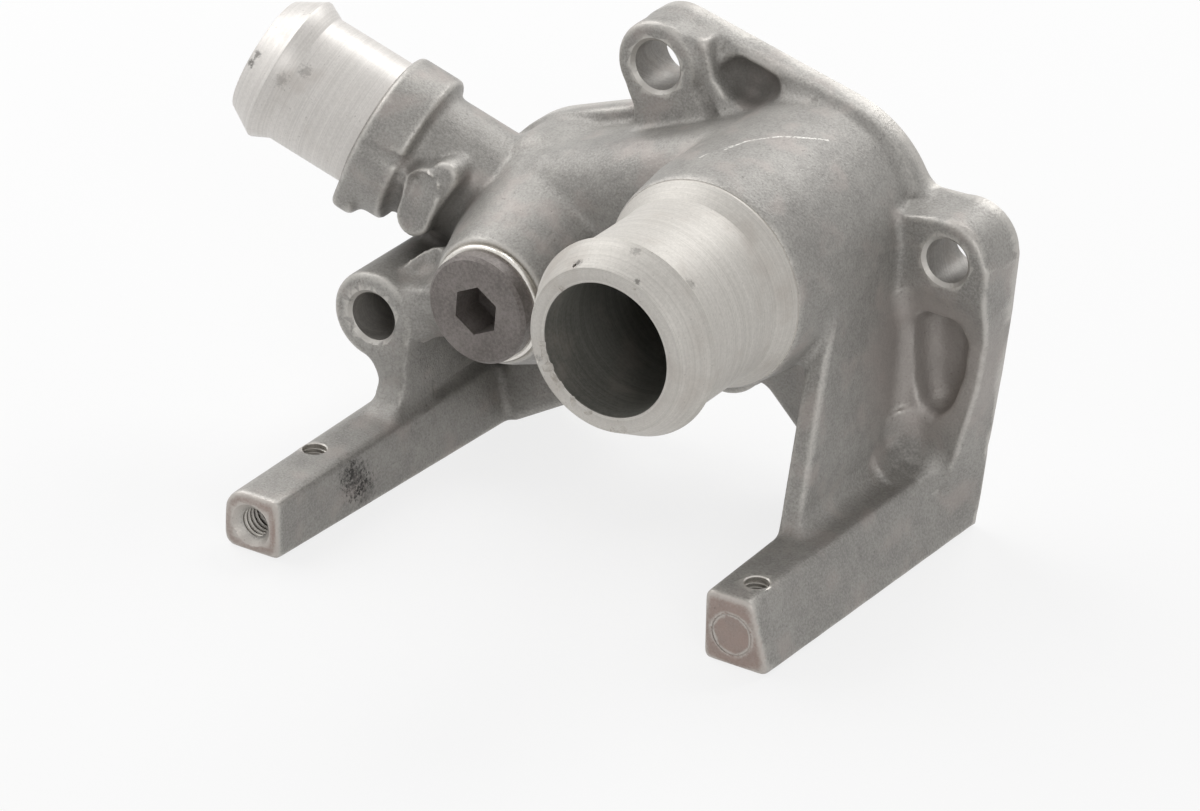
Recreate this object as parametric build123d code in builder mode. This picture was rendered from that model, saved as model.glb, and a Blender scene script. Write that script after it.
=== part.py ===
from build123d import *
import os
from math import cos, radians, sin

# Coolant housing: a casting with two hose stubs, four bolt bosses and two bracket arms,
# with a screw plug in front and a wax valve insert in its bore.
# Millimetres. The origin is where the big outlet's axis meets the mounting face, +Z is up
# and the engine lies at +Y. Depths are measured from the mounting face towards the front,
# and points on the face are given as X and Z.

os.makedirs("parts", exist_ok=True)

# Bolt bosses
top_hole = (-28.8, 21.3)
right_hole = (28.9, 0.0)
left_hole = (-68.5, -26.0)
lower_hole = (-15.6, -30.6)
hole_radius = 4.5
right_hole_radius = 4.0
hole_chamfer = 0.8
boss_radius = 8.0
left_boss_radius = 8.3
lug_radius = 8.25
left_lug_radius = 8.5
right_lug_radius = 7.6
right_boss_root_radius = 8.3
right_boss_top_radius = 7.5
boss_depth = 10.6
left_boss_depth = 38.8
boss_edge = 1.0
boss_root_radius = 5.0

# Flange plate
plate_depth = 4.8
plate_edge = 1.2
web_depth = 8.0
web_edge = 1.5
ground_level = -54.0
main_flange_radius = 21.5
side_flange_radius = 22.5
web_foot_x = 11.8
web_root_x = 18.0
arch_corner = (-6.4, -35.4)
arch_root = (-9.5, -33.8)
terrace_depth = 9.2
pocket_floor_depth = 3.0
pocket_corner = 0.8

# Main chamber, in line with the big outlet, and side chamber, in line with the screw plug
main_centre = (0.0, 0.0)
side_centre = (-44.2, -16.6)
main_bore_radius = 12.75
side_bore_radius = 13.4
side_bore_depth = 24.0
passage_depth = 15.5
passage_body_depth = 24.5
passage_wall_radius = 19.6
passage_edge = 8.5
dome_back_radius = 20.0
dome_middle_radius = 19.4
dome_front_radius = 18.8
dome_straight_depth = 31.0
dome_middle_depth = 35.5
dome_edge = 0.6
side_root_radius = 21.5
side_root_depth = 6.0
side_waist_radius = 20.4
side_waist_depth = 13.0
side_bend_radius = 18.4
side_bend_depth = 17.5
side_body_radius = 17.6
side_body_depth = 21.5
side_shoulder_radius = 16.4
side_shoulder_depth = 25.5
side_lobe_centre = (-50.0, -4.8)
side_lobe_radius = 8.8
side_lobe_root_radius = 16.0
side_lobe_depth = 18.5
side_lobe_edge = 6.5

# Outlines on the casting, as X and Z
top_ridge_outline = [
    (-36.4, 19.5),
    (-22.4, 24.6),
    (-21.3, 19.5),
    (-19.4, 15.6),
    (-12.0, 11.0),
    (-33.4, 6.5),
    (-33.5, 12.6),
    (-34.8, 15.3),
]
terrace_outline = [(-27.0, 28.4), (-20.2, 27.4), (-18.3, 21.0), (-15.6, 17.8), (-9.0, 16.0), (-20.0, 12.0)]
top_pocket_outline = [
    (-20.3, 25.4),
    (-18.6, 20.5),
    (-16.0, 17.2),
    (-8.0, 14.0),
    (8.0, 14.0),
    (3.0, 18.9),
    (-12.5, 23.6),
]
right_web_back_outline = [
    (12.0, 8.0),
    (29.0, 8.1),
    (35.2, 5.3),
    (37.3, 0.0),
    (36.5, -11.0),
    (35.1, -24.6),
    (33.5, -38.0),
    (31.9, ground_level),
    (16.4, ground_level),
    (12.0, -30.0),
]
right_web_front_outline = [
    (12.0, 5.0),
    (26.0, 7.3),
    (33.2, 5.5),
    (36.9, 0.0),
    (36.5, -11.0),
    (34.9, -22.5),
    (30.9, -36.5),
    (26.9, -46.0),
    (16.4, -46.0),
    (12.0, -30.0),
]
right_web_step_top = -6.0
right_web_step_foot = -15.0
web_pocket_outline = [
    (21.2, -13.5),
    (24.3, -10.4),
    (31.4, -10.8),
    (33.2, -15.2),
    (32.6, -22.0),
    (30.6, -28.4),
    (26.6, -32.6),
    (23.6, -31.0),
    (21.9, -24.9),
]
web_pocket_draft = 12.0

# Web between the left arm and the arch
left_web_depth = 13.3
left_web_foot_x = -56.0
left_arch_start_x = -45.5
left_arch_start_z = -47.8
left_arch_end = (-30.0, -38.5)

# Big outlet
outlet_bore_radius = 11.7
outlet_tube_radius = 16.25
outlet_bead_radius = 17.3
outlet_mouth_radius = 14.3
outlet_bead_depth = 64.5
outlet_bead_drop = 0.7
outlet_shoulder_radius = 18.3
shoulder_depth = 40.7
outlet_flare_radius = 17.45
outlet_flare_depth = 42.4
outlet_bend_radius = 16.75
outlet_bend_depth = 43.5
outlet_tube_depth = 45.5
outlet_depth = 70.5

# Small outlet: its axis starts in the side chamber and climbs to the left
side_axis_depth = 11.0
side_outlet_rise = 24.1
side_outlet_swing = 11.5
neck_radius = 11.6
neck_root = -6.0
collar_radius = 14.15
side_tube_radius = 12.2
side_bead_radius = 13.75
side_mouth_radius = 10.7
side_outlet_bore_radius = 8.8
collar_start = 31.5
collar_end = 41.3
collar_chamfer = 0.8
side_bead_start = 56.6
side_bead_crest = 59.8
side_outlet_length = 65.0
collar_lug_radius = 3.2
collar_lug_inset = 0.4
lug_offset = 13.2
lug_angle = 45.0
lug_start = 36.4
lug_end = 41.0
lug_edge = 1.2

# Obround pad on the neck
pad_length = 13.4
pad_width = 7.0
pad_centre = (-65.3, -6.9)
pad_lean = 18.0
pad_depth = 30.0
pad_root_depth = 17.0
pad_edge = 0.5

# Screw plug and its washer
plug_boss_radius = 11.7
plug_boss_depth = 38.0
plug_boss_edge = 0.7
plug_seat_radius = 11.0
plug_seat_cut = 0.4
plug_thread_radius = 8.0
plug_thread_length = 11.0
thread_clearance = 0.05
plug_tip_chamfer = 1.0
plug_head_radius = 9.9
plug_head_height = 3.2
plug_head_chamfer = 0.6
plug_socket_flats = 8.0
plug_socket_depth = 7.0
plug_socket_turn = 25.5
washer_radius = 10.7
washer_bore_clearance = 0.15
washer_thickness = 1.5
washer_edge = 0.5

# Bracket arms
left_arm_depth = 78.3
right_arm_depth = 65.0
left_arm_top = -42.8
right_arm_top = -41.0
left_arm_back_x = (-72.3, -55.8, -59.3, -70.8)
left_arm_end_x = (-71.8, -60.2, -60.2, -71.5)
right_arm_back_x = (16.3, 31.9, 26.9, 16.2)
right_arm_end_x = (16.6, 29.2, 25.6, 16.6)
left_arm_back_corners = (0.7, 0.7, 1.2, 2.4)
left_arm_end_corners = (2.2, 1.2, 1.2, 4.6)
right_arm_back_corners = (0.7, 0.7, 1.2, 1.2)
right_arm_end_corners = (1.2, 1.2, 1.8, 1.5)
arm_end_edge = 0.6
cross_hole_depth = 58.4
cross_hole_radius = 2.1
left_cross_hole_x = -66.8
right_cross_hole_x = 22.6
end_hole = (-65.9, -48.7)
end_hole_radius = 2.6
end_hole_countersink = 3.9
end_hole_length = 16.0
end_mark = (21.9, -48.1)
end_mark_radius = 3.9
end_mark_depth = 0.3

# Ribs
right_rib_outer_x = 20.0
right_rib_width = 4.1
right_rib_top_depth = 30.5
right_rib_foot_depth = 41.5
boss_web_left_x = -66.9
boss_web_right_x = -61.4
boss_web_corner = 3.5
bridge_rib_radius = 5.3
bridge_rib_drop = 2.2
bridge_rib_end = (-46.0, -20.0)
bridge_rib_edge = 2.0
rib_edge = 0.9
arm_overlap = 2.0

# Valve insert, stacked against the shoulder at the end of the main bore
insert_clearance = 0.2
insert_depth = 33.0
seal_thickness = 1.0
seal_inner_radius = 11.8
seat_thickness = 1.4
seat_opening_radius = 7.4
ring_thickness = 1.0
ring_groove_radius = 13.6
ring_outer_clearance = 0.1
ring_inner_radius = 11.4
ring_side_clearance = 0.05
ring_gap = 8.0
bridge_depth = 45.0
bridge_width = 6.0
bridge_sheet = 1.2
bridge_radius = 10.5
rod_radius = 1.6
rod_clearance = 0.06
rod_tip_depth = 24.0
rod_collar_radius = 2.6
rod_collar_height = 1.0
capsule_radius = 5.2
capsule_neck_radius = 3.4
capsule_neck_depth = 36.0
capsule_rim_radius = 6.2
capsule_rim_height = 2.4
capsule_end_depth = 8.5
capsule_edge = 0.8
valve_radius = 8.6
valve_sheet = 1.0
valve_gap = 0.1
spring_radius = 7.45
spring_wire_radius = 0.65
spring_turns = 4.0
spring_seat_gap = 0.1
stirrup_depth = 9.4
stirrup_width = 5.0
stirrup_radius = 10.6
capsule_slide_clearance = 0.08
bleed_centre_radius = 10.0
bleed_angle = 45.0
bleed_hole_radius = 0.8
bleed_pin_radius = 0.5
bleed_head_radius = 1.05
bleed_head_height = 0.7
bleed_travel = 0.8
bleed_gap = 0.1


def line_plane(centre, depth=0):
    """Plane across a line parallel to Y through a point of the face, looking to the front."""
    return Plane((centre[0], -depth, centre[1]), x_dir=(1, 0, 0), z_dir=(0, -1, 0))


def front(depth):
    """Plane parallel to the mounting face, this far in front of it, X to the right and Z up."""
    return Plane.XZ.offset(depth)


def stretched(plane, *circles):
    """Outline like a belt round circles, each given as a centre and a radius."""
    with BuildSketch(plane) as outline:
        for centre, radius in circles:
            with Locations(centre):
                Circle(radius)
        make_hull()
    return outline.sketch


def disc(plane, centre, radius):
    """Round face on a plane."""
    with BuildSketch(plane) as outline:
        with Locations(centre):
            Circle(radius)
    return outline.sketch


def polygon(plane, points, corner=0):
    """Flat face with straight sides, its corners rounded where a radius is given."""
    with BuildSketch(plane) as outline:
        with BuildLine():
            Polyline(*points, close=True)
        make_face()
        if corner > 0:
            fillet(outline.vertices(), corner)
    return outline.sketch


def turned(plane, points):
    """Solid turned about a plane's own Z axis from a profile of radius and height."""
    profile_plane = Plane(plane.origin, x_dir=plane.x_dir, z_dir=-plane.y_dir)
    with BuildPart() as shape:
        with BuildSketch(profile_plane):
            with BuildLine():
                Polyline(*points, close=True)
            make_face()
        revolve(axis=Axis(plane.origin, plane.z_dir))
    return shape.part


def raised(outline, depth, edge):
    """Pad that stands on the mounting face, with its front edge rounded."""
    with BuildPart() as pad:
        add(outline)
        extrude(amount=depth, dir=(0, -1, 0))
        fillet(pad.faces().sort_by(Axis.Y)[0].outer_wire().edges(), edge)
    return pad.part


def tapered_arm(back_x, back_corners, end_x, end_corners, top, depth):
    """Bracket arm between two sections, whose corners stand on the ground and at the top level."""
    levels = (ground_level, ground_level, top, top)
    with BuildPart() as shape:
        for plane, corners_x, radii in ((front(0), back_x, back_corners), (front(depth), end_x, end_corners)):
            with BuildSketch(plane) as section:
                with BuildLine():
                    Polyline(*zip(corners_x, levels), close=True)
                make_face()
                for x, level, radius in zip(corners_x, levels, radii):
                    fillet(section.vertices().sort_by_distance((x, level, 0))[0], radius)
        loft(ruled=True)
        fillet(shape.faces().sort_by(Axis.Y)[0].edges(), arm_end_edge)
    return shape.part


def strap(plane, radius, near, far, width, sheet):
    """Bent strap with two legs at a radius; the depths of their ends and of the crossbar are given."""
    step = sheet if far > near else -sheet
    with BuildPart() as shape:
        with BuildSketch(plane):
            with BuildLine():
                Polyline(
                    (-radius, near),
                    (-radius, far),
                    (radius, far),
                    (radius, near),
                    (radius - sheet, near),
                    (radius - sheet, far - step),
                    (sheet - radius, far - step),
                    (sheet - radius, near),
                    close=True,
                )
            make_face()
        extrude(amount=width / 2, both=True)
    return shape.part


def chamfered_mouth(plane, radius, size):
    """Cone that chamfers the mouth of a hole, its wide end on the plane."""
    return turned(plane, [(0, -size), (radius, -size), (radius + size, 0), (radius + size, 1), (0, 1)])


# Depths that follow from the stacked parts
plug_face_depth = plug_boss_depth - plug_seat_cut
plug_head_depth = plug_face_depth + washer_thickness
plug_front_depth = plug_head_depth + plug_head_height
plug_tip_depth = plug_face_depth - plug_thread_length
bridge_rib_depth = plug_boss_depth - bridge_rib_drop
seat_front_depth = insert_depth - seal_thickness
seat_back_depth = seat_front_depth - seat_thickness
ring_depth = seat_back_depth - ring_thickness
valve_back_depth = seat_back_depth - valve_gap - valve_sheet
bolt_holes = (
    (top_hole, hole_radius, boss_depth),
    (right_hole, right_hole_radius, boss_depth),
    (left_hole, hole_radius, left_boss_depth),
    (lower_hole, hole_radius, web_depth),
)

# Direction of the small outlet; on its plane local X points down and local Y to the front
rise = radians(side_outlet_rise)
swing = radians(side_outlet_swing)
side_direction = Vector(-cos(rise) * cos(swing), -cos(rise) * sin(swing), sin(rise))
side_origin = Vector(side_centre[0], -side_axis_depth, side_centre[1])
side_plane = Plane(side_origin, x_dir=side_direction.cross(Vector(0, 1, 0)), z_dir=side_direction)

# Flange plate: the belt-shaped sealing face with its bolt lugs, and the web down to the right foot
with BuildSketch(front(0)) as plate_outline:
    add(stretched(Plane.XY, (main_centre, main_flange_radius), (side_centre, side_flange_radius)))
    add(stretched(Plane.XY, (top_hole, lug_radius), (main_centre, main_flange_radius)))
    add(stretched(Plane.XY, (right_hole, right_lug_radius), (main_centre, right_lug_radius)))
    add(stretched(Plane.XY, (left_hole, left_lug_radius), (side_centre, left_lug_radius)))
    add(stretched(Plane.XY, (lower_hole, lug_radius), (main_centre, lug_radius)))

    # Inside corners are rounded by growing the outline and shrinking it back
    offset(amount=boss_root_radius, kind=Kind.ARC, mode=Mode.REPLACE)
    offset(amount=-boss_root_radius, kind=Kind.ARC, mode=Mode.REPLACE)
plate = raised(plate_outline.sketch, plate_depth, plate_edge)
web_inner_side = [(web_root_x, 0), (web_root_x, ground_level)]
arch_side = [(web_foot_x, ground_level), arch_corner, arch_root, main_centre]
arch_web = raised(polygon(front(0), web_inner_side + arch_side), web_depth, web_edge)

# Web under the right bolt boss, its outer side leaning in towards the front
with BuildPart() as right_web:
    add(polygon(front(0), right_web_back_outline))
    add(polygon(front(boss_depth), right_web_front_outline))
    loft(ruled=True)
    # Its front face steps back below the bolt hole
    with BuildSketch(Plane.YZ):
        with BuildLine():
            Polyline(
                (-boss_depth, right_web_step_top),
                (-web_depth, right_web_step_foot),
                (-web_depth, ground_level - 1),
                (-boss_depth - 1, ground_level - 1),
                (-boss_depth - 1, right_web_step_top),
                close=True,
            )
        make_face()
    extrude(amount=right_hole[0] * 2, mode=Mode.SUBTRACT)

left_web = raised(
    polygon(
        front(0),
        [
            (left_web_foot_x - arm_overlap, ground_level),
            (left_web_foot_x, ground_level),
            (left_arch_start_x, left_arch_start_z),
            left_arch_end,
            side_centre,
            (left_web_foot_x - arm_overlap, side_centre[1]),
        ],
    ),
    left_web_depth,
    web_edge,
)

# Bolt bosses; a ridge runs from the top one down to the dome, with a terrace beside it
top_boss = raised(disc(front(0), top_hole, boss_radius), boss_depth, boss_edge)
right_boss = turned(
    line_plane(right_hole),
    [
        (0, 0),
        (right_boss_root_radius, 0),
        (right_boss_top_radius, boss_depth - boss_edge),
        (right_boss_top_radius - boss_edge / 2, boss_depth),
        (0, boss_depth),
    ],
)
lower_boss = raised(disc(front(0), lower_hole, boss_radius), web_depth, boss_edge)
with BuildSketch(front(0)) as left_boss_outline:
    add(disc(Plane.XY, left_hole, left_boss_radius))
    add(
        polygon(
            Plane.XY,
            [
                (boss_web_left_x, left_arm_top - arm_overlap),
                (boss_web_right_x, left_arm_top - arm_overlap),
                (boss_web_right_x, left_hole[1]),
                (boss_web_left_x, left_hole[1]),
            ],
        )
    )
    inside_corners = left_boss_outline.vertices().filter_by(
        lambda corner: left_hole[1] - left_boss_radius < corner.Y < left_hole[1]
    )
    fillet(inside_corners, boss_web_corner)
left_boss = raised(left_boss_outline.sketch, left_boss_depth, boss_edge)
bridge_rib = raised(
    stretched(front(0), (left_hole, bridge_rib_radius), (bridge_rib_end, bridge_rib_radius)),
    bridge_rib_depth,
    bridge_rib_edge,
)
top_boss_ridge = raised(polygon(front(0), top_ridge_outline), boss_depth, boss_edge)
terrace = raised(polygon(front(0), terrace_outline), terrace_depth, boss_edge)

# Bodies round the two chambers and the passage between them
dome = turned(
    front(0),
    [
        (0, 0),
        (dome_back_radius, 0),
        (dome_back_radius, dome_straight_depth),
        (dome_middle_radius, dome_middle_depth),
        (dome_front_radius, shoulder_depth - dome_edge),
        (dome_front_radius - dome_edge, shoulder_depth),
        (0, shoulder_depth),
    ],
)
side_body = turned(
    line_plane(side_centre),
    [
        (0, 0),
        (side_root_radius, 0),
        (side_root_radius, side_root_depth),
        (side_waist_radius, side_waist_depth),
        (side_bend_radius, side_bend_depth),
        (side_body_radius, side_body_depth),
        (side_shoulder_radius, side_shoulder_depth),
        (plug_boss_radius + plug_boss_edge, plug_boss_depth - plug_boss_edge * 3),
        (plug_boss_radius, plug_boss_depth - plug_boss_edge),
        (plug_boss_radius - plug_boss_edge / 2, plug_boss_depth),
        (0, plug_boss_depth),
    ],
)
passage_body = raised(
    stretched(front(0), (main_centre, passage_wall_radius), (side_centre, passage_wall_radius)),
    passage_body_depth,
    passage_edge,
)

# Swelling between the plug's boss, the neck and the upper edge of the plate
side_lobe = raised(
    stretched(front(0), (side_lobe_centre, side_lobe_radius), (side_centre, side_lobe_root_radius)),
    side_lobe_depth,
    side_lobe_edge,
)

# Hose stubs
big_stub = turned(
    front(0),
    [
        (0, 0),
        (main_bore_radius + 1, 0),
        (outlet_shoulder_radius, shoulder_depth / 2),
        (outlet_shoulder_radius, shoulder_depth),
        (outlet_flare_radius, outlet_flare_depth),
        (outlet_bend_radius, outlet_bend_depth),
        (outlet_tube_radius, outlet_tube_depth),
        (outlet_tube_radius, outlet_bead_depth - outlet_bead_drop),
        (outlet_bead_radius, outlet_bead_depth),
        (outlet_mouth_radius, outlet_depth),
        (0, outlet_depth),
    ],
)
small_stub = turned(
    side_plane,
    [
        (0, neck_root),
        (neck_radius, neck_root),
        (neck_radius, collar_start),
        (collar_radius, collar_start + collar_chamfer),
        (collar_radius, collar_end - collar_chamfer),
        (side_tube_radius, collar_end),
        (side_tube_radius, side_bead_start),
        (side_bead_radius, side_bead_crest),
        (side_mouth_radius, side_outlet_length),
        (0, side_outlet_length),
    ],
)
lug_turn = radians(lug_angle)
lug_centre = (lug_offset * cos(lug_turn), lug_offset * sin(lug_turn))
lug_plane = side_plane.offset(lug_start)
with BuildPart() as collar_lug:
    add(stretched(lug_plane, ((0, 0), collar_radius - collar_lug_inset), (lug_centre, collar_lug_radius)))
    extrude(amount=lug_end - lug_start, dir=tuple(side_direction))
    lug_faces = collar_lug.faces().filter_by(GeomType.PLANE).sort_by(Axis(side_origin, side_direction))
    fillet(lug_faces[-1].outer_wire().edges() + lug_faces[0].outer_wire().edges(), lug_edge)
with BuildPart() as neck_pad:
    with BuildSketch(front(pad_depth)):
        with Locations(pad_centre):
            SlotOverall(pad_length, pad_width, rotation=90 - pad_lean)
    extrude(amount=pad_root_depth - pad_depth)
    fillet(neck_pad.faces().sort_by(Axis.Y)[0].edges(), pad_edge)

# Bracket arms and the rib that braces the right one
left_arm = tapered_arm(
    left_arm_back_x,
    left_arm_back_corners,
    left_arm_end_x,
    left_arm_end_corners,
    left_arm_top,
    left_arm_depth,
)
right_arm = tapered_arm(
    right_arm_back_x,
    right_arm_back_corners,
    right_arm_end_x,
    right_arm_end_corners,
    right_arm_top,
    right_arm_depth,
)
with BuildPart() as right_rib:
    with BuildSketch(Plane.YZ.offset(right_rib_outer_x - right_rib_width)):
        with BuildLine():
            Polyline(
                (0, 0),
                (-right_rib_top_depth, 0),
                (-right_rib_foot_depth, right_arm_top - arm_overlap),
                (0, right_arm_top - arm_overlap),
                close=True,
            )
        make_face()
    extrude(amount=right_rib_width)
    rib_front = right_rib.faces().filter_by(lambda face: face.normal_at().Y < -0.5)[0]
    fillet(rib_front.edges().filter_by(Axis.X, reverse=True), rib_edge)

with BuildPart() as housing:
    add(plate)
    # Pocket between the terrace, the rim and the dome
    add(polygon(front(pocket_floor_depth), top_pocket_outline))
    extrude(amount=plate_depth, dir=(0, -1, 0), mode=Mode.SUBTRACT)
    add(arch_web)
    add(right_web.part)
    # Pocket below the right bolt hole
    add(polygon(front(boss_depth), web_pocket_outline, pocket_corner))
    extrude(amount=boss_depth - pocket_floor_depth, dir=(0, 1, 0), taper=web_pocket_draft, mode=Mode.SUBTRACT)
    for body in (left_web, top_boss, right_boss, lower_boss, left_boss, bridge_rib, top_boss_ridge, terrace):
        add(body)
    for body in (dome, side_body, side_lobe, passage_body):
        add(body)
    for body in (big_stub, small_stub, collar_lug.part, neck_pad.part):
        add(body)
    for body in (left_arm, right_arm, right_rib.part):
        add(body)
    # The mounting face is milled flat
    with BuildSketch(front(0)):
        Rectangle(4 * left_arm_depth, 4 * left_arm_depth)
    extrude(amount=-side_flange_radius, mode=Mode.SUBTRACT)
    # Chambers behind the two lobes of the sealing face, and the passage between them
    add(stretched(front(0), (main_centre, main_bore_radius), (side_centre, side_bore_radius)))
    extrude(amount=passage_depth, dir=(0, -1, 0), mode=Mode.SUBTRACT)
    add(disc(front(0), side_centre, side_bore_radius))
    extrude(amount=side_bore_depth, dir=(0, -1, 0), mode=Mode.SUBTRACT)
    add(disc(front(0), main_centre, main_bore_radius))
    extrude(amount=insert_depth, dir=(0, -1, 0), mode=Mode.SUBTRACT)
    add(disc(front(0), main_centre, outlet_bore_radius))
    extrude(amount=outlet_depth + 1, dir=(0, -1, 0), mode=Mode.SUBTRACT)
    # Groove for the retaining ring
    add(disc(front(ring_depth - ring_side_clearance), main_centre, ring_groove_radius))
    extrude(amount=ring_thickness + 2 * ring_side_clearance, dir=(0, -1, 0), mode=Mode.SUBTRACT)
    # Screw plug's bore and its machined seat
    add(disc(front(0), side_centre, plug_thread_radius + thread_clearance))
    extrude(amount=plug_boss_depth + 1, dir=(0, -1, 0), mode=Mode.SUBTRACT)
    add(disc(front(plug_face_depth), side_centre, plug_seat_radius))
    extrude(amount=1, dir=(0, -1, 0), mode=Mode.SUBTRACT)
    with BuildSketch(side_plane):
        Circle(side_outlet_bore_radius)
    extrude(amount=side_outlet_length + 1, mode=Mode.SUBTRACT)
    # Bolt holes, with their mouths chamfered
    for centre, radius, depth in bolt_holes:
        add(disc(front(0), centre, radius))
    extrude(amount=left_boss_depth + 1, dir=(0, -1, 0), mode=Mode.SUBTRACT)
    for centre, radius, depth in bolt_holes:
        add(chamfered_mouth(line_plane(centre, depth), radius, hole_chamfer), mode=Mode.SUBTRACT)
    # Cross holes through both arms
    with BuildSketch(Plane.XY.offset(ground_level)):
        with Locations((left_cross_hole_x, -cross_hole_depth), (right_cross_hole_x, -cross_hole_depth)):
            Circle(cross_hole_radius)
    extrude(amount=right_arm_top - ground_level, mode=Mode.SUBTRACT)
    # Countersunk hole in the end of the left arm and shallow round mark on the right one
    end_hole_bottom = left_arm_depth - end_hole_length
    add(disc(front(end_hole_bottom), end_hole, end_hole_radius))
    extrude(amount=end_hole_length + 1, dir=(0, -1, 0), mode=Mode.SUBTRACT)
    end_hole_mouth = line_plane(end_hole, left_arm_depth)
    countersink = end_hole_countersink - end_hole_radius
    add(chamfered_mouth(end_hole_mouth, end_hole_radius, countersink), mode=Mode.SUBTRACT)
    add(disc(front(right_arm_depth - end_mark_depth), end_mark, end_mark_radius))
    extrude(amount=1, dir=(0, -1, 0), mode=Mode.SUBTRACT)

# Screw plug and washer
with BuildPart() as screw_plug:
    add(
        turned(
            line_plane(side_centre),
            [
                (0, plug_tip_depth),
                (plug_thread_radius - plug_tip_chamfer, plug_tip_depth),
                (plug_thread_radius, plug_tip_depth + plug_tip_chamfer),
                (plug_thread_radius, plug_head_depth),
                (plug_head_radius, plug_head_depth),
                (plug_head_radius, plug_front_depth - plug_head_chamfer),
                (plug_head_radius - plug_head_chamfer, plug_front_depth),
                (0, plug_front_depth),
            ],
        )
    )
    with BuildSketch(front(plug_front_depth)):
        with Locations(side_centre):
            RegularPolygon(plug_socket_flats / 2, 6, major_radius=False, rotation=plug_socket_turn)
    extrude(amount=-plug_socket_depth, mode=Mode.SUBTRACT)

with BuildPart() as plug_washer:
    with BuildSketch(front(plug_face_depth)):
        with Locations(side_centre):
            Circle(washer_radius)
            Circle(plug_thread_radius + washer_bore_clearance, mode=Mode.SUBTRACT)
    extrude(amount=washer_thickness)
    fillet(plug_washer.edges().filter_by(GeomType.CIRCLE).sort_by(SortBy.RADIUS)[-2:], washer_edge)

# Valve insert: seal, seat ring with the bridge that holds the rod, and the ring that retains them
insert_radius = main_bore_radius - insert_clearance
level_plane = Plane((0, 0, 0), x_dir=(1, 0, 0), z_dir=(0, 0, -1))
upright_plane = Plane((0, 0, 0), x_dir=(0, 0, 1), z_dir=(1, 0, 0))
with BuildPart() as seat_seal:
    with BuildSketch(front(seat_front_depth)):
        Circle(insert_radius)
        Circle(seal_inner_radius, mode=Mode.SUBTRACT)
    extrude(amount=seal_thickness)

bleed_turn = radians(bleed_angle)
bleed_centre = (bleed_centre_radius * cos(bleed_turn), bleed_centre_radius * sin(bleed_turn))
with BuildPart() as seat_ring:
    add(disc(front(seat_back_depth), main_centre, insert_radius))
    extrude(amount=seat_thickness, dir=(0, -1, 0))
    add(strap(level_plane, bridge_radius, seat_back_depth, bridge_depth, bridge_width, bridge_sheet))
    with BuildSketch(front(seat_back_depth)):
        Circle(seat_opening_radius)
        with Locations(bleed_centre):
            Circle(bleed_hole_radius)
    extrude(amount=seat_thickness, mode=Mode.SUBTRACT)
    with BuildSketch(front(seat_front_depth)):
        Circle(rod_radius + rod_clearance)
    extrude(amount=bridge_depth - seat_front_depth, mode=Mode.SUBTRACT)

with BuildPart() as retaining_ring:
    with BuildSketch(front(ring_depth)):
        Circle(ring_groove_radius - ring_outer_clearance)
        Circle(ring_inner_radius, mode=Mode.SUBTRACT)
        with Locations((0, -ring_groove_radius)):
            Rectangle(ring_gap, ring_groove_radius, mode=Mode.SUBTRACT)
    extrude(amount=ring_thickness)

with BuildPart() as push_rod:
    add(
        turned(
            front(0),
            [
                (0, rod_tip_depth),
                (rod_radius, rod_tip_depth),
                (rod_radius, bridge_depth - bridge_sheet - rod_collar_height),
                (rod_collar_radius, bridge_depth - bridge_sheet - rod_collar_height),
                (rod_collar_radius, bridge_depth - bridge_sheet),
                (rod_radius, bridge_depth - bridge_sheet),
                (rod_radius, bridge_depth),
                (0, bridge_depth),
            ],
        )
    )

with BuildPart() as wax_capsule:
    add(
        turned(
            front(0),
            [
                (0, capsule_end_depth),
                (capsule_radius - capsule_edge, capsule_end_depth),
                (capsule_radius, capsule_end_depth + capsule_edge),
                (capsule_radius, valve_back_depth - capsule_rim_height),
                (capsule_rim_radius, valve_back_depth - capsule_rim_height),
                (capsule_rim_radius, valve_back_depth),
                (capsule_neck_radius, valve_back_depth),
                (capsule_neck_radius, capsule_neck_depth),
                (rod_radius + rod_clearance, capsule_neck_depth),
                (rod_radius + rod_clearance, rod_tip_depth - rod_clearance),
                (0, rod_tip_depth - rod_clearance),
            ],
        )
    )

with BuildPart() as valve_plate:
    with BuildSketch(front(valve_back_depth)):
        Circle(valve_radius)
        Circle(capsule_neck_radius + thread_clearance, mode=Mode.SUBTRACT)
    extrude(amount=valve_sheet)

spring_start = stirrup_depth + spring_seat_gap + spring_wire_radius
spring_height = valve_back_depth - spring_seat_gap - spring_wire_radius - spring_start
with BuildPart() as return_spring:
    with BuildLine():
        coil_origin = (0, -spring_start, 0)
        coil = Helix(spring_height / spring_turns, spring_height, spring_radius, coil_origin, (0, -1, 0))
    with BuildSketch(Plane(coil @ 0, z_dir=coil % 0)):
        Circle(spring_wire_radius)
    sweep(is_frenet=True)

with BuildPart() as spring_bridge:
    lower_end_depth = stirrup_depth - bridge_sheet
    add(strap(upright_plane, stirrup_radius, seat_back_depth, lower_end_depth, stirrup_width, bridge_sheet))
    add(disc(front(lower_end_depth), main_centre, spring_radius + 2 * spring_wire_radius))
    extrude(amount=bridge_sheet, dir=(0, -1, 0))
    with BuildSketch(front(lower_end_depth)):
        Circle(capsule_radius + capsule_slide_clearance)
    extrude(amount=bridge_sheet, mode=Mode.SUBTRACT)

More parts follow.
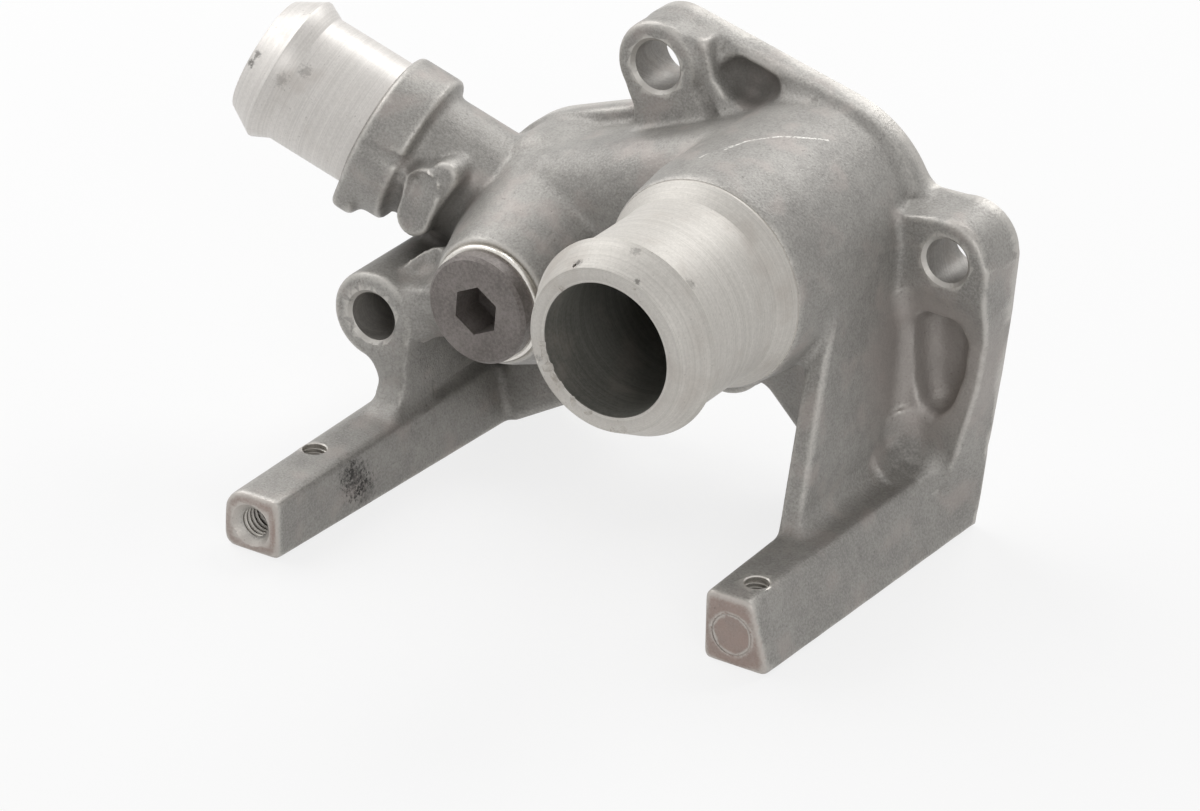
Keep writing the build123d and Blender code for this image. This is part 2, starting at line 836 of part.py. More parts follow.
with BuildPart() as bleed_pin:
    add(
        turned(
            line_plane(bleed_centre),
            [
                (0, seat_back_depth - bleed_gap - bleed_head_height),
                (bleed_head_radius, seat_back_depth - bleed_gap - bleed_head_height),
                (bleed_head_radius, seat_back_depth - bleed_gap),
                (bleed_pin_radius, seat_back_depth - bleed_gap),
                (bleed_pin_radius, seat_front_depth + bleed_gap + bleed_travel),
                (bleed_head_radius, seat_front_depth + bleed_gap + bleed_travel),
                (bleed_head_radius, seat_front_depth + bleed_gap + bleed_travel + bleed_head_height),
                (0, seat_front_depth + bleed_gap + bleed_travel + bleed_head_height),
            ],
        )
    )

housing.part.label = "housing"
export_step(housing.part, "parts/housing.step")
screw_plug.part.label = "screw_plug"
export_step(screw_plug.part, "parts/screw_plug.step")
plug_washer.part.label = "plug_washer"
export_step(plug_washer.part, "parts/plug_washer.step")
seat_seal.part.label = "seat_seal"
export_step(seat_seal.part, "parts/seat_seal.step")
seat_ring.part.label = "seat_ring"
export_step(seat_ring.part, "parts/seat_ring.step")
retaining_ring.part.label = "retaining_ring"
export_step(retaining_ring.part, "parts/retaining_ring.step")
push_rod.part.label = "push_rod"
export_step(push_rod.part, "parts/push_rod.step")
wax_capsule.part.label = "wax_capsule"
export_step(wax_capsule.part, "parts/wax_capsule.step")
valve_plate.part.label = "valve_plate"
export_step(valve_plate.part, "parts/valve_plate.step")
return_spring.part.label = "return_spring"
export_step(return_spring.part, "parts/return_spring.step")
spring_bridge.part.label = "spring_bridge"
export_step(spring_bridge.part, "parts/spring_bridge.step")
bleed_pin.part.label = "bleed_pin"
export_step(bleed_pin.part, "parts/bleed_pin.step")
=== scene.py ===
# %% [markdown]
# # Coolant housing, dressed for the camera
#
# The object is a die-cast aluminium housing. It was poured first, which left soft corners
# and a grainy skin, and machined afterwards, which left crisp bores, two turned hose stubs
# and a milled sealing face. This notebook follows the same order: a soft casting is made
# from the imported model, then the machine cuts are made in it, and then every surface gets
# a finish.

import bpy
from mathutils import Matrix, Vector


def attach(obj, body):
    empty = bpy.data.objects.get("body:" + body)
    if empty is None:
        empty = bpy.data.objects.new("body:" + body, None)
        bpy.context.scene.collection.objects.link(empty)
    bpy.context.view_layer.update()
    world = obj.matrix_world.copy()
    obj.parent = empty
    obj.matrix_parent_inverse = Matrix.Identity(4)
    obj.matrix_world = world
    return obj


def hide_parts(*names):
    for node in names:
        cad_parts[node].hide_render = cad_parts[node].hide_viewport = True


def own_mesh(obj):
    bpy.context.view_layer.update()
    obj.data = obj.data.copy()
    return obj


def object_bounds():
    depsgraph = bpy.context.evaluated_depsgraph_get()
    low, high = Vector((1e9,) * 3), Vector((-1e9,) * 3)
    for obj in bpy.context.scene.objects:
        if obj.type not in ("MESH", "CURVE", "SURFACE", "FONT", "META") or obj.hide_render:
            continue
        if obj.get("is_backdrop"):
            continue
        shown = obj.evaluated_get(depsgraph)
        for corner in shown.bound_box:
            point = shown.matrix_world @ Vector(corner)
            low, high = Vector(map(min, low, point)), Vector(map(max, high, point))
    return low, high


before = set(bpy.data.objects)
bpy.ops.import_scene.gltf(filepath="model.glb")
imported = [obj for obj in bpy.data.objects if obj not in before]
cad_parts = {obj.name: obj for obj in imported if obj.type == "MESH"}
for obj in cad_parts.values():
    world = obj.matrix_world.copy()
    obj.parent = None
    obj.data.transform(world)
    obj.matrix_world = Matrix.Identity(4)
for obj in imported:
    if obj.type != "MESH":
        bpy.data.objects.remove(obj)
cad_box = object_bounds()
print("CAD nodes:", ", ".join(sorted(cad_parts)))

# %% [markdown]
# Blender works in metres, and the housing was measured in millimetres, so lengths in this
# notebook are written in millimetres and multiplied by `MM`. Depth is counted from the
# sealing face towards the front, which is along -Y.

# %% Imports and units
from math import cos, hypot, pi, radians, sin

import bmesh
import bpy
import numpy as np
from mathutils import Matrix, Vector
from mathutils.bvhtree import BVHTree

MM = 0.001
TOWARDS_FRONT = Vector((0, -1, 0))


def at(x, depth, z):
    """Point in metres from its place in millimetres, its depth counted towards the front."""
    return Vector((x, -depth, z)) * MM


print("one millimetre is", MM, "Blender units")

# %% [markdown]
# ## Camera
#
# The picture was taken with a long lens from the front, the right and above. The camera
# stands where the edges of the bores, arms and stubs line up with the picture.

# %% Camera
CAMERA_PLACE = at(386.08, 676.04, 359.04)
CAMERA_TURN = radians(32.57)
CAMERA_FALL = radians(27.19)
CAMERA_ROLL = radians(0.88)
FOCAL_LENGTH = 150.0
SENSOR_WIDTH = 36.0
NEAREST_SEEN = 0.01


def new_object(name, data):
    """Object at the origin, in the scene."""
    thing = bpy.data.objects.new(name, data)
    bpy.context.scene.collection.objects.link(thing)
    return thing


right = Vector((cos(CAMERA_TURN), sin(CAMERA_TURN), 0))
ahead = Vector((
    -sin(CAMERA_TURN) * cos(CAMERA_FALL),
    cos(CAMERA_TURN) * cos(CAMERA_FALL),
    -sin(CAMERA_FALL),
))
upward = right.cross(ahead)
rolled_right = cos(CAMERA_ROLL) * right + sin(CAMERA_ROLL) * upward
rolled_up = cos(CAMERA_ROLL) * upward - sin(CAMERA_ROLL) * right

camera_data = bpy.data.cameras.new("camera")
camera_data.lens = FOCAL_LENGTH
camera_data.sensor_width = SENSOR_WIDTH
camera_data.clip_start = NEAREST_SEEN
camera = new_object("camera", camera_data)
camera_axes = Matrix((rolled_right, rolled_up, -ahead)).transposed()
camera.matrix_world = Matrix.Translation(CAMERA_PLACE) @ camera_axes.to_4x4()
bpy.context.scene.camera = camera
print("camera stands", round(CAMERA_PLACE.length, 3), "m from the origin")

# %% [markdown]
# ## Shapes that are turned on a lathe
#
# Bores, stubs and cutters are all bodies of revolution. A profile of a few points is spun
# round an axis with `bmesh.ops.spin`, merged where it meets itself, and laid along the
# axis that the real tool would have.

# %% Lathe helper
UPWARDS = Vector((0, 0, 1))
TOUCHING = 1e-7
SIDE_CENTRE = (-44.2, -16.6)
SIDE_DEPTH = 11.0
SIDE_RISE = radians(24.1)
SIDE_SWING = radians(11.5)
SIDE_START = at(SIDE_CENTRE[0], SIDE_DEPTH, SIDE_CENTRE[1])
SIDE_AXIS = Vector((
    -cos(SIDE_RISE) * cos(SIDE_SWING),
    -cos(SIDE_RISE) * sin(SIDE_SWING),
    sin(SIDE_RISE),
))


def lay(direction, start):
    """Matrix that lays a shape's own Z axis along a direction, from a starting point."""
    turn = UPWARDS.rotation_difference(direction)
    return Matrix.Translation(start) @ turn.to_matrix().to_4x4()


def turned(profile, start, direction, steps=128, closed=False):
    """Mesh data of a solid spun from (radius, height) points in millimetres."""
    shape = bmesh.new()
    points = [shape.verts.new((radius * MM, 0, height * MM)) for radius, height in profile]
    pairs = list(zip(points, points[1:])) + ([(points[-1], points[0])] if closed else [])
    outline = [shape.edges.new(pair) for pair in pairs]
    bmesh.ops.spin(
        shape,
        geom=points + outline,
        cent=(0, 0, 0),
        axis=UPWARDS,
        angle=2 * pi,
        steps=steps,
        use_merge=True,
    )
    bmesh.ops.remove_doubles(shape, verts=shape.verts, dist=TOUCHING)
    bmesh.ops.recalc_face_normals(shape, faces=shape.faces)
    bmesh.ops.transform(shape, matrix=lay(direction, start), verts=shape.verts)
    return shape


def plain_object(name, shape):
    """Object that holds a finished bmesh."""
    mesh = bpy.data.meshes.new(name)
    shape.to_mesh(mesh)
    shape.free()
    return new_object(name, mesh)


print("small outlet leaves along", tuple(round(value, 3) for value in SIDE_AXIS))

# %% [markdown]
# ## The casting blank
#
# A foundry pours the housing without its bores, a little longer where it will be machined.
# The blank starts from the CAD housing. Its back is pushed out past the sealing face, the
# hose stubs are pared down so that the turned ones can replace them, and the face of the
# neck's small pad leans back a little towards its upper end.

# %% Blank from the CAD housing
BACK_STOCK = 1.5
STUB_STOCK = 0.8
DOME_END = 40.7
BIG_STUB_WALL = (13.0, 18.0)
BIG_STUB_TIP = 70
COLLAR_END = 41.3
SMALL_STUB_WALL = 10
SMALL_STUB_TIP = 64
PAD_FACE = 30.0
PAD_FOOT = -12
PAD_LEAN = 0.22
PAD_SPREAD = ((-72, -58), (-16, 3))


def pad_depth(z):
    """Depth of the neck pad's face, which leans back towards its upper end."""
    return PAD_FACE - PAD_LEAN * max(z - PAD_FOOT, 0)


blank = bmesh.new()
blank.from_mesh(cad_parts["housing"].data)
bmesh.ops.remove_doubles(blank, verts=blank.verts, dist=10 * TOUCHING)

for vertex in blank.verts:
    depth = -vertex.co.y / MM
    radius = hypot(vertex.co.x, vertex.co.z) / MM
    if depth < 0.01:
        vertex.co.y = BACK_STOCK * MM
    elif depth > DOME_END + 0.2 and BIG_STUB_WALL[0] < radius < BIG_STUB_WALL[1]:
        shrink = (radius - STUB_STOCK) / radius
        vertex.co.x *= shrink
        vertex.co.z *= shrink
        if depth > BIG_STUB_TIP:
            vertex.co.y += STUB_STOCK * MM

    x, z = vertex.co.x / MM, vertex.co.z / MM
    over_pad = all(low < value < high for value, (low, high) in zip((x, z), PAD_SPREAD))
    if abs(depth - PAD_FACE) < 0.1 and over_pad:
        vertex.co.y = -pad_depth(z) * MM

    along = (vertex.co - SIDE_START).dot(SIDE_AXIS)
    if along > (COLLAR_END - 0.1) * MM:
        foot = SIDE_START + SIDE_AXIS * along
        spoke = vertex.co - foot
        if spoke.length > SMALL_STUB_WALL * MM:
            vertex.co = foot + spoke * (1 - STUB_STOCK * MM / spoke.length)
            if along > SMALL_STUB_TIP * MM:
                vertex.co -= SIDE_AXIS * STUB_STOCK * MM
print("blank has", len(blank.verts), "points from the CAD housing")

# %% [markdown]
# The plugs that fill the bores are plain turned bars, a little fatter than their bores. The
# small slanting pad on the neck joins them, as a belt round two circles: rings at two
# depths, closed by `bmesh.ops.convex_hull`. Loose overlapping pieces are enough here,
# because the voxel remesh that follows melts them into one skin.

# %% Plugs in the bores
BOLT_HOLES = (
    ((-28.8, 21.3), 4.5, 10.6),
    ((28.9, 0.0), 4.0, 10.6),
    ((-68.5, -26.0), 4.5, 38.8),
    ((-15.6, -30.6), 4.5, 8.0),
)
PLUG_BORE = 8.05
PLUG_FACE_DEPTH = 37.6
CROSS_HOLES = ((-66.8, 58.4), (22.6, 58.4))
CROSS_RADIUS = 2.1
ARM_TOPS = (-42.8, -41.0)
GROUND = -54.0
END_HOLE = (-65.9, -48.7)
END_LENGTH = 16.0
LEFT_ARM = 78.3
PAD_CIRCLES = ((-65.6, -9.4), (-60.9, -1.4))
PAD_RADIUS = 2.7
PAD_ROOT = 18
STOCK = 0.6
END_PLUG = 4.2
BIG_PLUG = (13.4, 30, 69.5)
SMALL_PLUG = (10.0, 30, 63.5)
RING_STEPS = 96

front = (at(0, 0, 0), TOWARDS_FRONT)
side = (SIDE_START, SIDE_AXIS)
side_place = at(SIDE_CENTRE[0], 0, SIDE_CENTRE[1])
end_place = at(END_HOLE[0], 0, END_HOLE[1])
end_bottom = LEFT_ARM - END_LENGTH


def bar(radius, first, last, start, direction, steps=64):
    """Turned bar between two heights along its axis."""
    return turned([(0, first), (radius, first), (radius, last), (0, last)], start, direction, steps)


def belt(circles, first):
    """Block whose outline is a belt round circles, from one depth to each circle's own."""
    block = bmesh.new()
    for (x, z), radius, last in circles:
        for depth in (first, last):
            bmesh.ops.create_circle(
                block,
                cap_ends=False,
                segments=RING_STEPS,
                radius=radius * MM,
                matrix=lay(TOWARDS_FRONT, at(x, depth, z)),
            )
    bmesh.ops.convex_hull(block, input=block.verts)
    loose = [edge for edge in block.edges if not edge.link_faces]
    bmesh.ops.delete(block, geom=loose, context="EDGES")
    return block


plugs = [belt([((x, z), PAD_RADIUS, pad_depth(z)) for x, z in PAD_CIRCLES], PAD_ROOT)]
for (x, z), radius, depth in BOLT_HOLES:
    plugs.append(bar(radius + STOCK, -BACK_STOCK, depth, at(x, 0, z), TOWARDS_FRONT))
plugs.append(bar(PLUG_BORE + STOCK, 22, PLUG_FACE_DEPTH, side_place, TOWARDS_FRONT))
for (x, depth), top in zip(CROSS_HOLES, ARM_TOPS):
    plugs.append(bar(CROSS_RADIUS + STOCK, GROUND, top, at(x, depth, 0), UPWARDS))
plugs.append(bar(END_PLUG, end_bottom - 1, LEFT_ARM, end_place, TOWARDS_FRONT))
plugs.append(bar(*BIG_PLUG, *front))
plugs.append(bar(*SMALL_PLUG, *side))
for plug in plugs:
    spare = bpy.data.meshes.new("spare")
    plug.to_mesh(spare)
    plug.free()
    blank.from_mesh(spare)
    bpy.data.meshes.remove(spare)
casting = plain_object("casting", blank)
print("blank and plugs:", len(casting.data.polygons), "triangles")

# %% [markdown]
# ## From blank to cast skin
#
# Castings have no sharp inside corners: the metal could not fill them and would crack
# there. A voxel remesh makes one closed skin. Pushing that skin out, remeshing and pulling
# it back in again fills every inside corner with a fillet, because two walls that meet in
# a corner run into each other while they are out there.

# %% Fillets by swelling and shrinking
FINE_VOXEL = 0.4
SKIN_FILLET = 0.8


def add_modifier(thing, kind, **settings):
    """Modifier with its settings, on the end of the object's stack."""
    modifier = thing.modifiers.new(kind.lower(), kind)
    for name, value in settings.items():
        setattr(modifier, name, value)
    return modifier


def bake_modifiers(thing):
    """Applies all the modifiers of an object to its mesh."""
    evaluated = thing.evaluated_get(bpy.context.evaluated_depsgraph_get())
    baked = bpy.data.meshes.new_from_object(evaluated)
    thing.modifiers.clear()
    old = thing.data
    thing.data = baked
    bpy.data.meshes.remove(old)


def swell_and_shrink(thing, radius):
    """Rounds an object's inside corners to about this radius in millimetres."""
    add_modifier(thing, "DISPLACE", strength=radius * MM, mid_level=0)
    add_modifier(thing, "REMESH", mode="VOXEL", voxel_size=FINE_VOXEL * MM)
    add_modifier(thing, "DISPLACE", strength=-radius * MM, mid_level=0)
    bake_modifiers(thing)


add_modifier(casting, "REMESH", mode="VOXEL", voxel_size=FINE_VOXEL * MM)
bake_modifiers(casting)
rough_skin = casting.data.copy()
swell_and_shrink(casting, SKIN_FILLET)
print("cast skin:", len(casting.data.vertices), "points")

# %% [markdown]
# Where ribs and bosses run into the body the mould maker cut much rounder corners. The
# same trick with a longer reach makes them, and balls say where they are wanted: only what
# lies inside a ball is added to the casting.

# %% Rounder corners where ribs and bosses end
ROUND_CORNERS = {
    4.8: (((-66, 37, -41), 8), ((-58, 32, -22), 9), ((23, 9, -38), 8)),
    3.0: (((19, 42, -40), 7), ((20, 34, -40), 8), ((20, 26, -40), 8), ((20, 18, -39), 8)),
    2.2: (((24, 4, -20), 15.5), ((-10, 4, 20), 10)),
}

additions = bmesh.new()
additions.from_mesh(casting.data)
for reach, balls in ROUND_CORNERS.items():
    generous = new_object("generous", rough_skin.copy())
    swell_and_shrink(generous, reach)
    add_modifier(generous, "REMESH", mode="VOXEL", voxel_size=FINE_VOXEL * MM)
    bake_modifiers(generous)
    for place, radius in balls:
        ball = bmesh.new()
        centre = Matrix.Translation(at(*place))
        bmesh.ops.create_icosphere(ball, subdivisions=3, radius=radius * MM, matrix=centre)
        keep = plain_object("ball", ball)
        piece = new_object("piece", generous.data.copy())
        add_modifier(piece, "BOOLEAN", operation="INTERSECT", solver="MANIFOLD", object=keep)
        bake_modifiers(piece)
        additions.from_mesh(piece.data)
        for spare in (keep, piece):
            bpy.data.meshes.remove(spare.data)
    bpy.data.meshes.remove(generous.data)
additions.to_mesh(casting.data)
additions.free()
add_modifier(casting, "REMESH", mode="VOXEL", voxel_size=FINE_VOXEL * MM)
bake_modifiers(casting)
print("with rounder corners:", len(casting.data.vertices), "points")

# %% [markdown]
# Two rounds of smoothing take the voxel steps off the skin and round its outer corners,
# as the wear of a mould does. `bmesh.ops.smooth_vert` moves every point towards the middle
# of its neighbours. After that a fifth of the faces is enough to hold the shape.

# %% Smooth the skin
SMOOTH_ROUNDS = 2
KEPT_FACES = 0.2

skin = bmesh.new()
skin.from_mesh(casting.data)
all_axes = {"use_axis_x": True, "use_axis_y": True, "use_axis_z": True}
for _ in range(SMOOTH_ROUNDS):
    bmesh.ops.smooth_vert(skin, verts=skin.verts, factor=0.5, **all_axes)
skin.to_mesh(casting.data)
skin.free()
add_modifier(casting, "DECIMATE", ratio=KEPT_FACES)
bake_modifiers(casting)
print("lighter skin:", len(casting.data.polygons), "faces")

# %% [markdown]
# ## Machining
#
# The lathe and the mill come next, in the order of the real workshop. First the ends of
# the dome and the collar are faced, then the two turned stubs are set in place of the rough
# ones, and last every bore is cut. Nearly every tool is a turned body, and Boolean modifiers
# put them to use. Profiles are lists of radius and depth in millimetres.

# %% Face the ends and set the turned stubs
MOUTH_DEPTH = 70.5
SMALL_MOUTH = 65.0
DOME_FACE = 40.5
COLLAR_FACE = 41.1
STUB_ROOT = 38
DOME_FACING = [(24, DOME_FACE), (16.2, DOME_FACE), (16.2, 66), (24, 66)]
COLLAR_FACING = [(18, COLLAR_FACE), (12.1, COLLAR_FACE), (12.1, 58), (18, 58)]
BIG_FLARE = [(18.3, 41.0), (17.2, 43.2), (16.4, 44.4), (16.25, 45.4)]
BIG_BEAD = [(16.25, 63.8), (17.2, 64.35), (17.3, 64.6), (14.42, 70.35), (14.25, MOUTH_DEPTH)]
SMALL_BEAD = [(12.2, 56.6), (13.68, 59.55), (13.72, 59.95), (10.85, 64.85), (10.65, SMALL_MOUTH)]
BIG_STUB = [(0, STUB_ROOT), (18.3, STUB_ROOT), *BIG_FLARE, *BIG_BEAD, (0, MOUTH_DEPTH)]
SMALL_STUB = [(0, STUB_ROOT), (12.2, STUB_ROOT), *SMALL_BEAD, (0, SMALL_MOUTH)]


def machine(thing, tools, operation):
    """Unites bodies with an object or cuts them out of it, in order."""
    bodies = [plain_object("tool", tool) for tool in tools]
    for body in bodies:
        add_modifier(thing, "BOOLEAN", operation=operation, solver="MANIFOLD", object=body)
    bake_modifiers(thing)
    for body in bodies:
        bpy.data.meshes.remove(body.data)


facings = [
    turned(DOME_FACING, *front, steps=144, closed=True),
    turned(COLLAR_FACING, *side, steps=128, closed=True),
]
machine(casting, facings, "DIFFERENCE")
stubs = [turned(BIG_STUB, *front, steps=192), turned(SMALL_STUB, *side, steps=160)]
machine(casting, stubs, "UNION")
print("with its stubs:", len(casting.data.polygons), "faces")

# %% [markdown]
# The bores are turned tools too. The passage between the chambers is milled with a wide
# cutter, so its outline is a belt round two circles, as the pad on the neck is.

# %% Cut the bores
BEHIND = -3
PASSAGE_DEPTH = 15.5
PASSAGE_ENDS = (((0, 0), 12.7, PASSAGE_DEPTH), (SIDE_CENTRE, 13.35, PASSAGE_DEPTH))
CHAMFER = 0.65
PLUG_SEAT = 11.0
CHAMBER_BORE = [(0, BEHIND), (12.75, BEHIND), (12.75, 29.55)]
RING_GROOVE = [(13.6, 29.55), (13.6, 30.65), (12.75, 30.65), (12.75, 33)]
OUTLET_BORE = [(11.7, 33), (11.7, 70.38), (11.82, MOUTH_DEPTH), (11.82, 73), (0, 73)]
SIDE_CHAMBER = [(0, BEHIND), (13.4, BEHIND), (13.4, 24), (PLUG_BORE, 24)]
PLUG_HOLE = [(PLUG_BORE, PLUG_FACE_DEPTH), (PLUG_SEAT, PLUG_FACE_DEPTH), (PLUG_SEAT, 41), (0, 41)]
SMALL_OUTLET = [(0, 0), (8.8, 0), (8.8, 64.85), (8.98, 65.02), (8.98, 67), (0, 67)]

tools = [
    turned(CHAMBER_BORE + RING_GROOVE + OUTLET_BORE, *front, steps=160),
    turned(SIDE_CHAMBER + PLUG_HOLE, side_place, TOWARDS_FRONT, steps=128),
    turned(SMALL_OUTLET, *side, steps=96),
    belt(PASSAGE_ENDS, BEHIND),
]
for (x, z), radius, depth in BOLT_HOLES:
    wide = radius + CHAMFER
    hole = [(0, BEHIND), (radius, BEHIND), (radius, depth - CHAMFER), (wide, depth)]
    hole += [(wide, depth + 4), (0, depth + 4)]
    tools.append(turned(hole, at(x, 0, z), TOWARDS_FRONT, steps=72))
machine(casting, tools, "DIFFERENCE")
print("after the bores:", len(casting.data.polygons), "faces")

# %% [markdown]
# The arms are drilled: one hole through each from above, and one into the left arm's end.
# A thin turned ring marks the end of the right arm, and one flat cut along the back makes
# the sealing face.

# %% Drill the arms and mill the back
RIGHT_ARM = 65.0
CROSS_CHAMFER = 0.2
END_RADIUS = 2.6
END_CHAMFER = 1.3
END_MOUTH = 3.9
RING_MARK_PLACE = at(21.9, 0, -48.1)
RING_MARK_RADII = (3.6, 3.82)
RING_MARK_DEPTH = 0.18
MILL_CENTRE = (-0.02, 0.01, -0.01)
MILL_SIZE = (0.3, 0.02, 0.2, 1)

tools = []
for (x, depth), top in zip(CROSS_HOLES, ARM_TOPS):
    wide = CROSS_RADIUS + CROSS_CHAMFER
    drill = [(0, GROUND - 3), (CROSS_RADIUS, GROUND - 3), (CROSS_RADIUS, top - CROSS_CHAMFER)]
    drill += [(wide, top), (wide, top + 3), (0, top + 3)]
    tools.append(turned(drill, at(x, depth, 0), UPWARDS, steps=56))
end_drill = [(0, end_bottom - 1.3), (END_RADIUS, end_bottom), (END_RADIUS, LEFT_ARM - END_CHAMFER)]
end_drill += [(END_MOUTH, LEFT_ARM), (END_MOUTH, 82), (0, 82)]
tools.append(turned(end_drill, end_place, TOWARDS_FRONT, steps=72))
inner, outer = RING_MARK_RADII
low, high = RIGHT_ARM - RING_MARK_DEPTH, RIGHT_ARM + 1
ring_mark = [(inner, low), (outer, low), (outer, high), (inner, high)]
tools.append(turned(ring_mark, RING_MARK_PLACE, TOWARDS_FRONT, steps=64, closed=True))
mill = bmesh.new()
mill_place = Matrix.Translation(MILL_CENTRE) @ Matrix.Diagonal(MILL_SIZE)
bmesh.ops.create_cube(mill, size=1, matrix=mill_place)
tools.append(mill)
machine(casting, tools, "DIFFERENCE")
print("after the drills:", len(casting.data.polygons), "faces")

# %% [markdown]
# A tap then leaves a helical groove in the wall of each drilled hole. A bump pattern could
# only draw the thread, and real grooves catch the light. Their tool is a small triangle
# that `spin` winds up along the axis, with `dvec` as the rise at each step.

# %% Tap the arms
TAP_STEPS = 28
TOOTH_HALF = 0.45
TOOTH_ROOT = 0.15
END_THREAD = {"depth": 0.45, "pitch": 1.0, "length": 13.5}
CROSS_THREAD = {"depth": 0.38, "pitch": 0.8}


def tap(radius, start, direction, depth, pitch, length):
    """Winding tooth that cuts a thread, with its two ends closed."""
    shape = bmesh.new()
    half = TOOTH_HALF * pitch
    tooth = [(radius - TOOTH_ROOT, -half), (radius + depth, 0), (radius - TOOTH_ROOT, half)]
    points = [shape.verts.new((across * MM, 0, height * MM)) for across, height in tooth]
    face = shape.faces.new(points)
    turns = int(length / pitch)
    bmesh.ops.spin(
        shape,
        geom=[face, *face.edges, *face.verts],
        cent=(0, 0, 0),
        axis=UPWARDS,
        dvec=(0, 0, pitch / TAP_STEPS * MM),
        angle=2 * pi * turns,
        steps=TAP_STEPS * turns,
    )
    bmesh.ops.remove_doubles(shape, verts=shape.verts, dist=TOUCHING)
    bmesh.ops.recalc_face_normals(shape, faces=shape.faces)
    bmesh.ops.transform(shape, matrix=lay(direction, start), verts=shape.verts)
    return shape


end_start = at(END_HOLE[0], end_bottom + 1.5, END_HOLE[1])
taps = [tap(END_RADIUS, end_start, TOWARDS_FRONT, **END_THREAD)]
for (x, depth), top in zip(CROSS_HOLES, ARM_TOPS):
    cross_start = at(x, depth, GROUND + 0.4)
    length = top - GROUND - 0.6
    taps.append(tap(CROSS_RADIUS, cross_start, UPWARDS, length=length, **CROSS_THREAD))
machine(casting, taps, "DIFFERENCE")

check = bmesh.new()
check.from_mesh(casting.data)
open_edges = sum(not edge.is_manifold for edge in check.edges)
print("after the taps:", len(check.faces), "faces,", open_edges, "open edges")
check.free()

# %% [markdown]
# Years of use left nicks in the rim of the big mouth. Small faceted lumps, sunk a little
# way into the edge, cut them. Their places and sizes follow the real ones.

# %% Nicks in the rim
NICK_STRETCH = (1.5, 0.8, 1, 1)
NICK_LIFT = 0.3
NICK_TURNS = (1.3, 0.7)
NICKS = (
    ((-11.9, -2.2), 0.8),
    ((-11.4, -4.2), 1.05),
    ((-10.7, -6.0), 1.2),
    ((-9.6, -7.6), 0.9),
    ((-8.6, -9.0), 1.1),
    ((-13.4, -5.4), 0.7),
    ((-5.9, -10.8), 0.85),
    ((-2.9, -12.0), 0.7),
    ((2.0, -14.1), 0.8),
    ((3.6, -13.4), 0.9),
    ((-8.2, 8.8), 0.7),
)
DEEP_NICKS = (((-6.4, 12.9), 69.6, 0.55), ((5.4, 12.6), 70.5, 0.35), ((5.7, 11.6), 70.5, 0.35))

nicks = []
every_nick = [(place, MOUTH_DEPTH, size) for place, size in NICKS] + list(DEEP_NICKS)
for index, ((x, z), depth, size) in enumerate(every_nick):
    lump = bmesh.new()
    turn = Matrix.Rotation(index * NICK_TURNS[0], 4, "Y")
    turn = turn @ Matrix.Rotation(index * NICK_TURNS[1], 4, "X")
    spot = Matrix.Translation(at(x, depth + size * NICK_LIFT, z))
    place = spot @ turn @ Matrix.Diagonal(NICK_STRETCH)
    bmesh.ops.create_icosphere(lump, subdivisions=1, radius=size * MM, matrix=place)
    nicks.append(lump)
machine(casting, nicks, "DIFFERENCE")
print("nicks cut:", len(nicks))

# %% [markdown]
# ## What the surface remembers
#
# Cast and machined metal look different, edges are bright from wear and a painted highlight,
# and dirt and painted shade gather where no rag and little light reaches. These facts are
# worked out once from the finished mesh and kept as attributes that the materials read.
# Machined faces are told apart by where they lie, edges by how the mesh bends, and sheltered
# places by how far a few rays get before they hit the casting.

# %% Which faces were machined
CAST, TURNED, SIDE_TURNED, MILLED, BORED, CHAMBER, THREAD = range(7)
HAIR = 0.02
BIG_STUB_REACH = 18.45
DOME_RING_REACH = 20
MAIN_BORE_REACH = 13.7
RIM_START = 69
OUTLET_REACH = 11.85
SIDE_BORE_REACH, SIDE_BORE_END = 13.5, 24.2
SEAT_REACH, SEAT_START = 11.1, 24
SMALL_STUB_REACH = 14.3
SMALL_BORE_REACH, SMALL_BORE_START = 8.95, 5
CROSS_THREAD_REACH = 2.55
END_THREAD_DEPTH = 0.5

mesh = casting.data
mesh.materials.clear()
face_count = len(mesh.polygons)
centres = np.empty(face_count * 3)
mesh.polygons.foreach_get("center", centres)
centres = centres.reshape(-1, 3) / MM
facing = np.empty(face_count * 3)
mesh.polygons.foreach_get("normal", facing)
facing = facing.reshape(-1, 3)
to_front = -facing[:, 1]
upright = abs(to_front) < 0.3


def from_axis(start, direction):
    """Height along an axis and distance from it, for every face."""
    offset = centres - np.array(start) / MM
    height = offset @ np.array(direction)
    return height, np.sqrt(np.maximum((offset**2).sum(axis=1) - height**2, 0))


finish_of = np.full(face_count, CAST)
height, radius = from_axis(*front)
finish_of[(radius < BIG_STUB_REACH) & (height > DOME_FACE + HAIR)] = TURNED
faced = (abs(height - DOME_FACE) < HAIR) & (to_front > 0.99)
finish_of[(radius < DOME_RING_REACH) & faced] = TURNED
finish_of[(radius < MAIN_BORE_REACH) & (height > -0.1) & (height < RIM_START)] = CHAMBER
finish_of[(radius < OUTLET_REACH) & (height > RIM_START - 0.1) & upright] = CHAMBER
height, radius = from_axis(side_place, TOWARDS_FRONT)
finish_of[(radius < SIDE_BORE_REACH) & (height < SIDE_BORE_END)] = CHAMBER
finish_of[(radius < SEAT_REACH) & (height > SEAT_START)] = TURNED
height, radius = from_axis(*side)
finish_of[(radius < SMALL_STUB_REACH) & (height > COLLAR_FACE - HAIR)] = SIDE_TURNED
finish_of[(radius < SMALL_BORE_REACH) & (height > SMALL_BORE_START)] = CHAMBER
for (x, z), hole, depth in BOLT_HOLES:
    height, radius = from_axis(at(x, 0, z), TOWARDS_FRONT)
    wall = (radius < hole + 0.05) & (height < depth - CHAMFER) & (abs(to_front) < 0.8)
    finish_of[wall] = BORED
for x, depth in CROSS_HOLES:
    height, radius = from_axis(at(x, depth, 0), UPWARDS)
    finish_of[(radius < CROSS_THREAD_REACH) & (abs(facing[:, 2]) < 0.95)] = THREAD
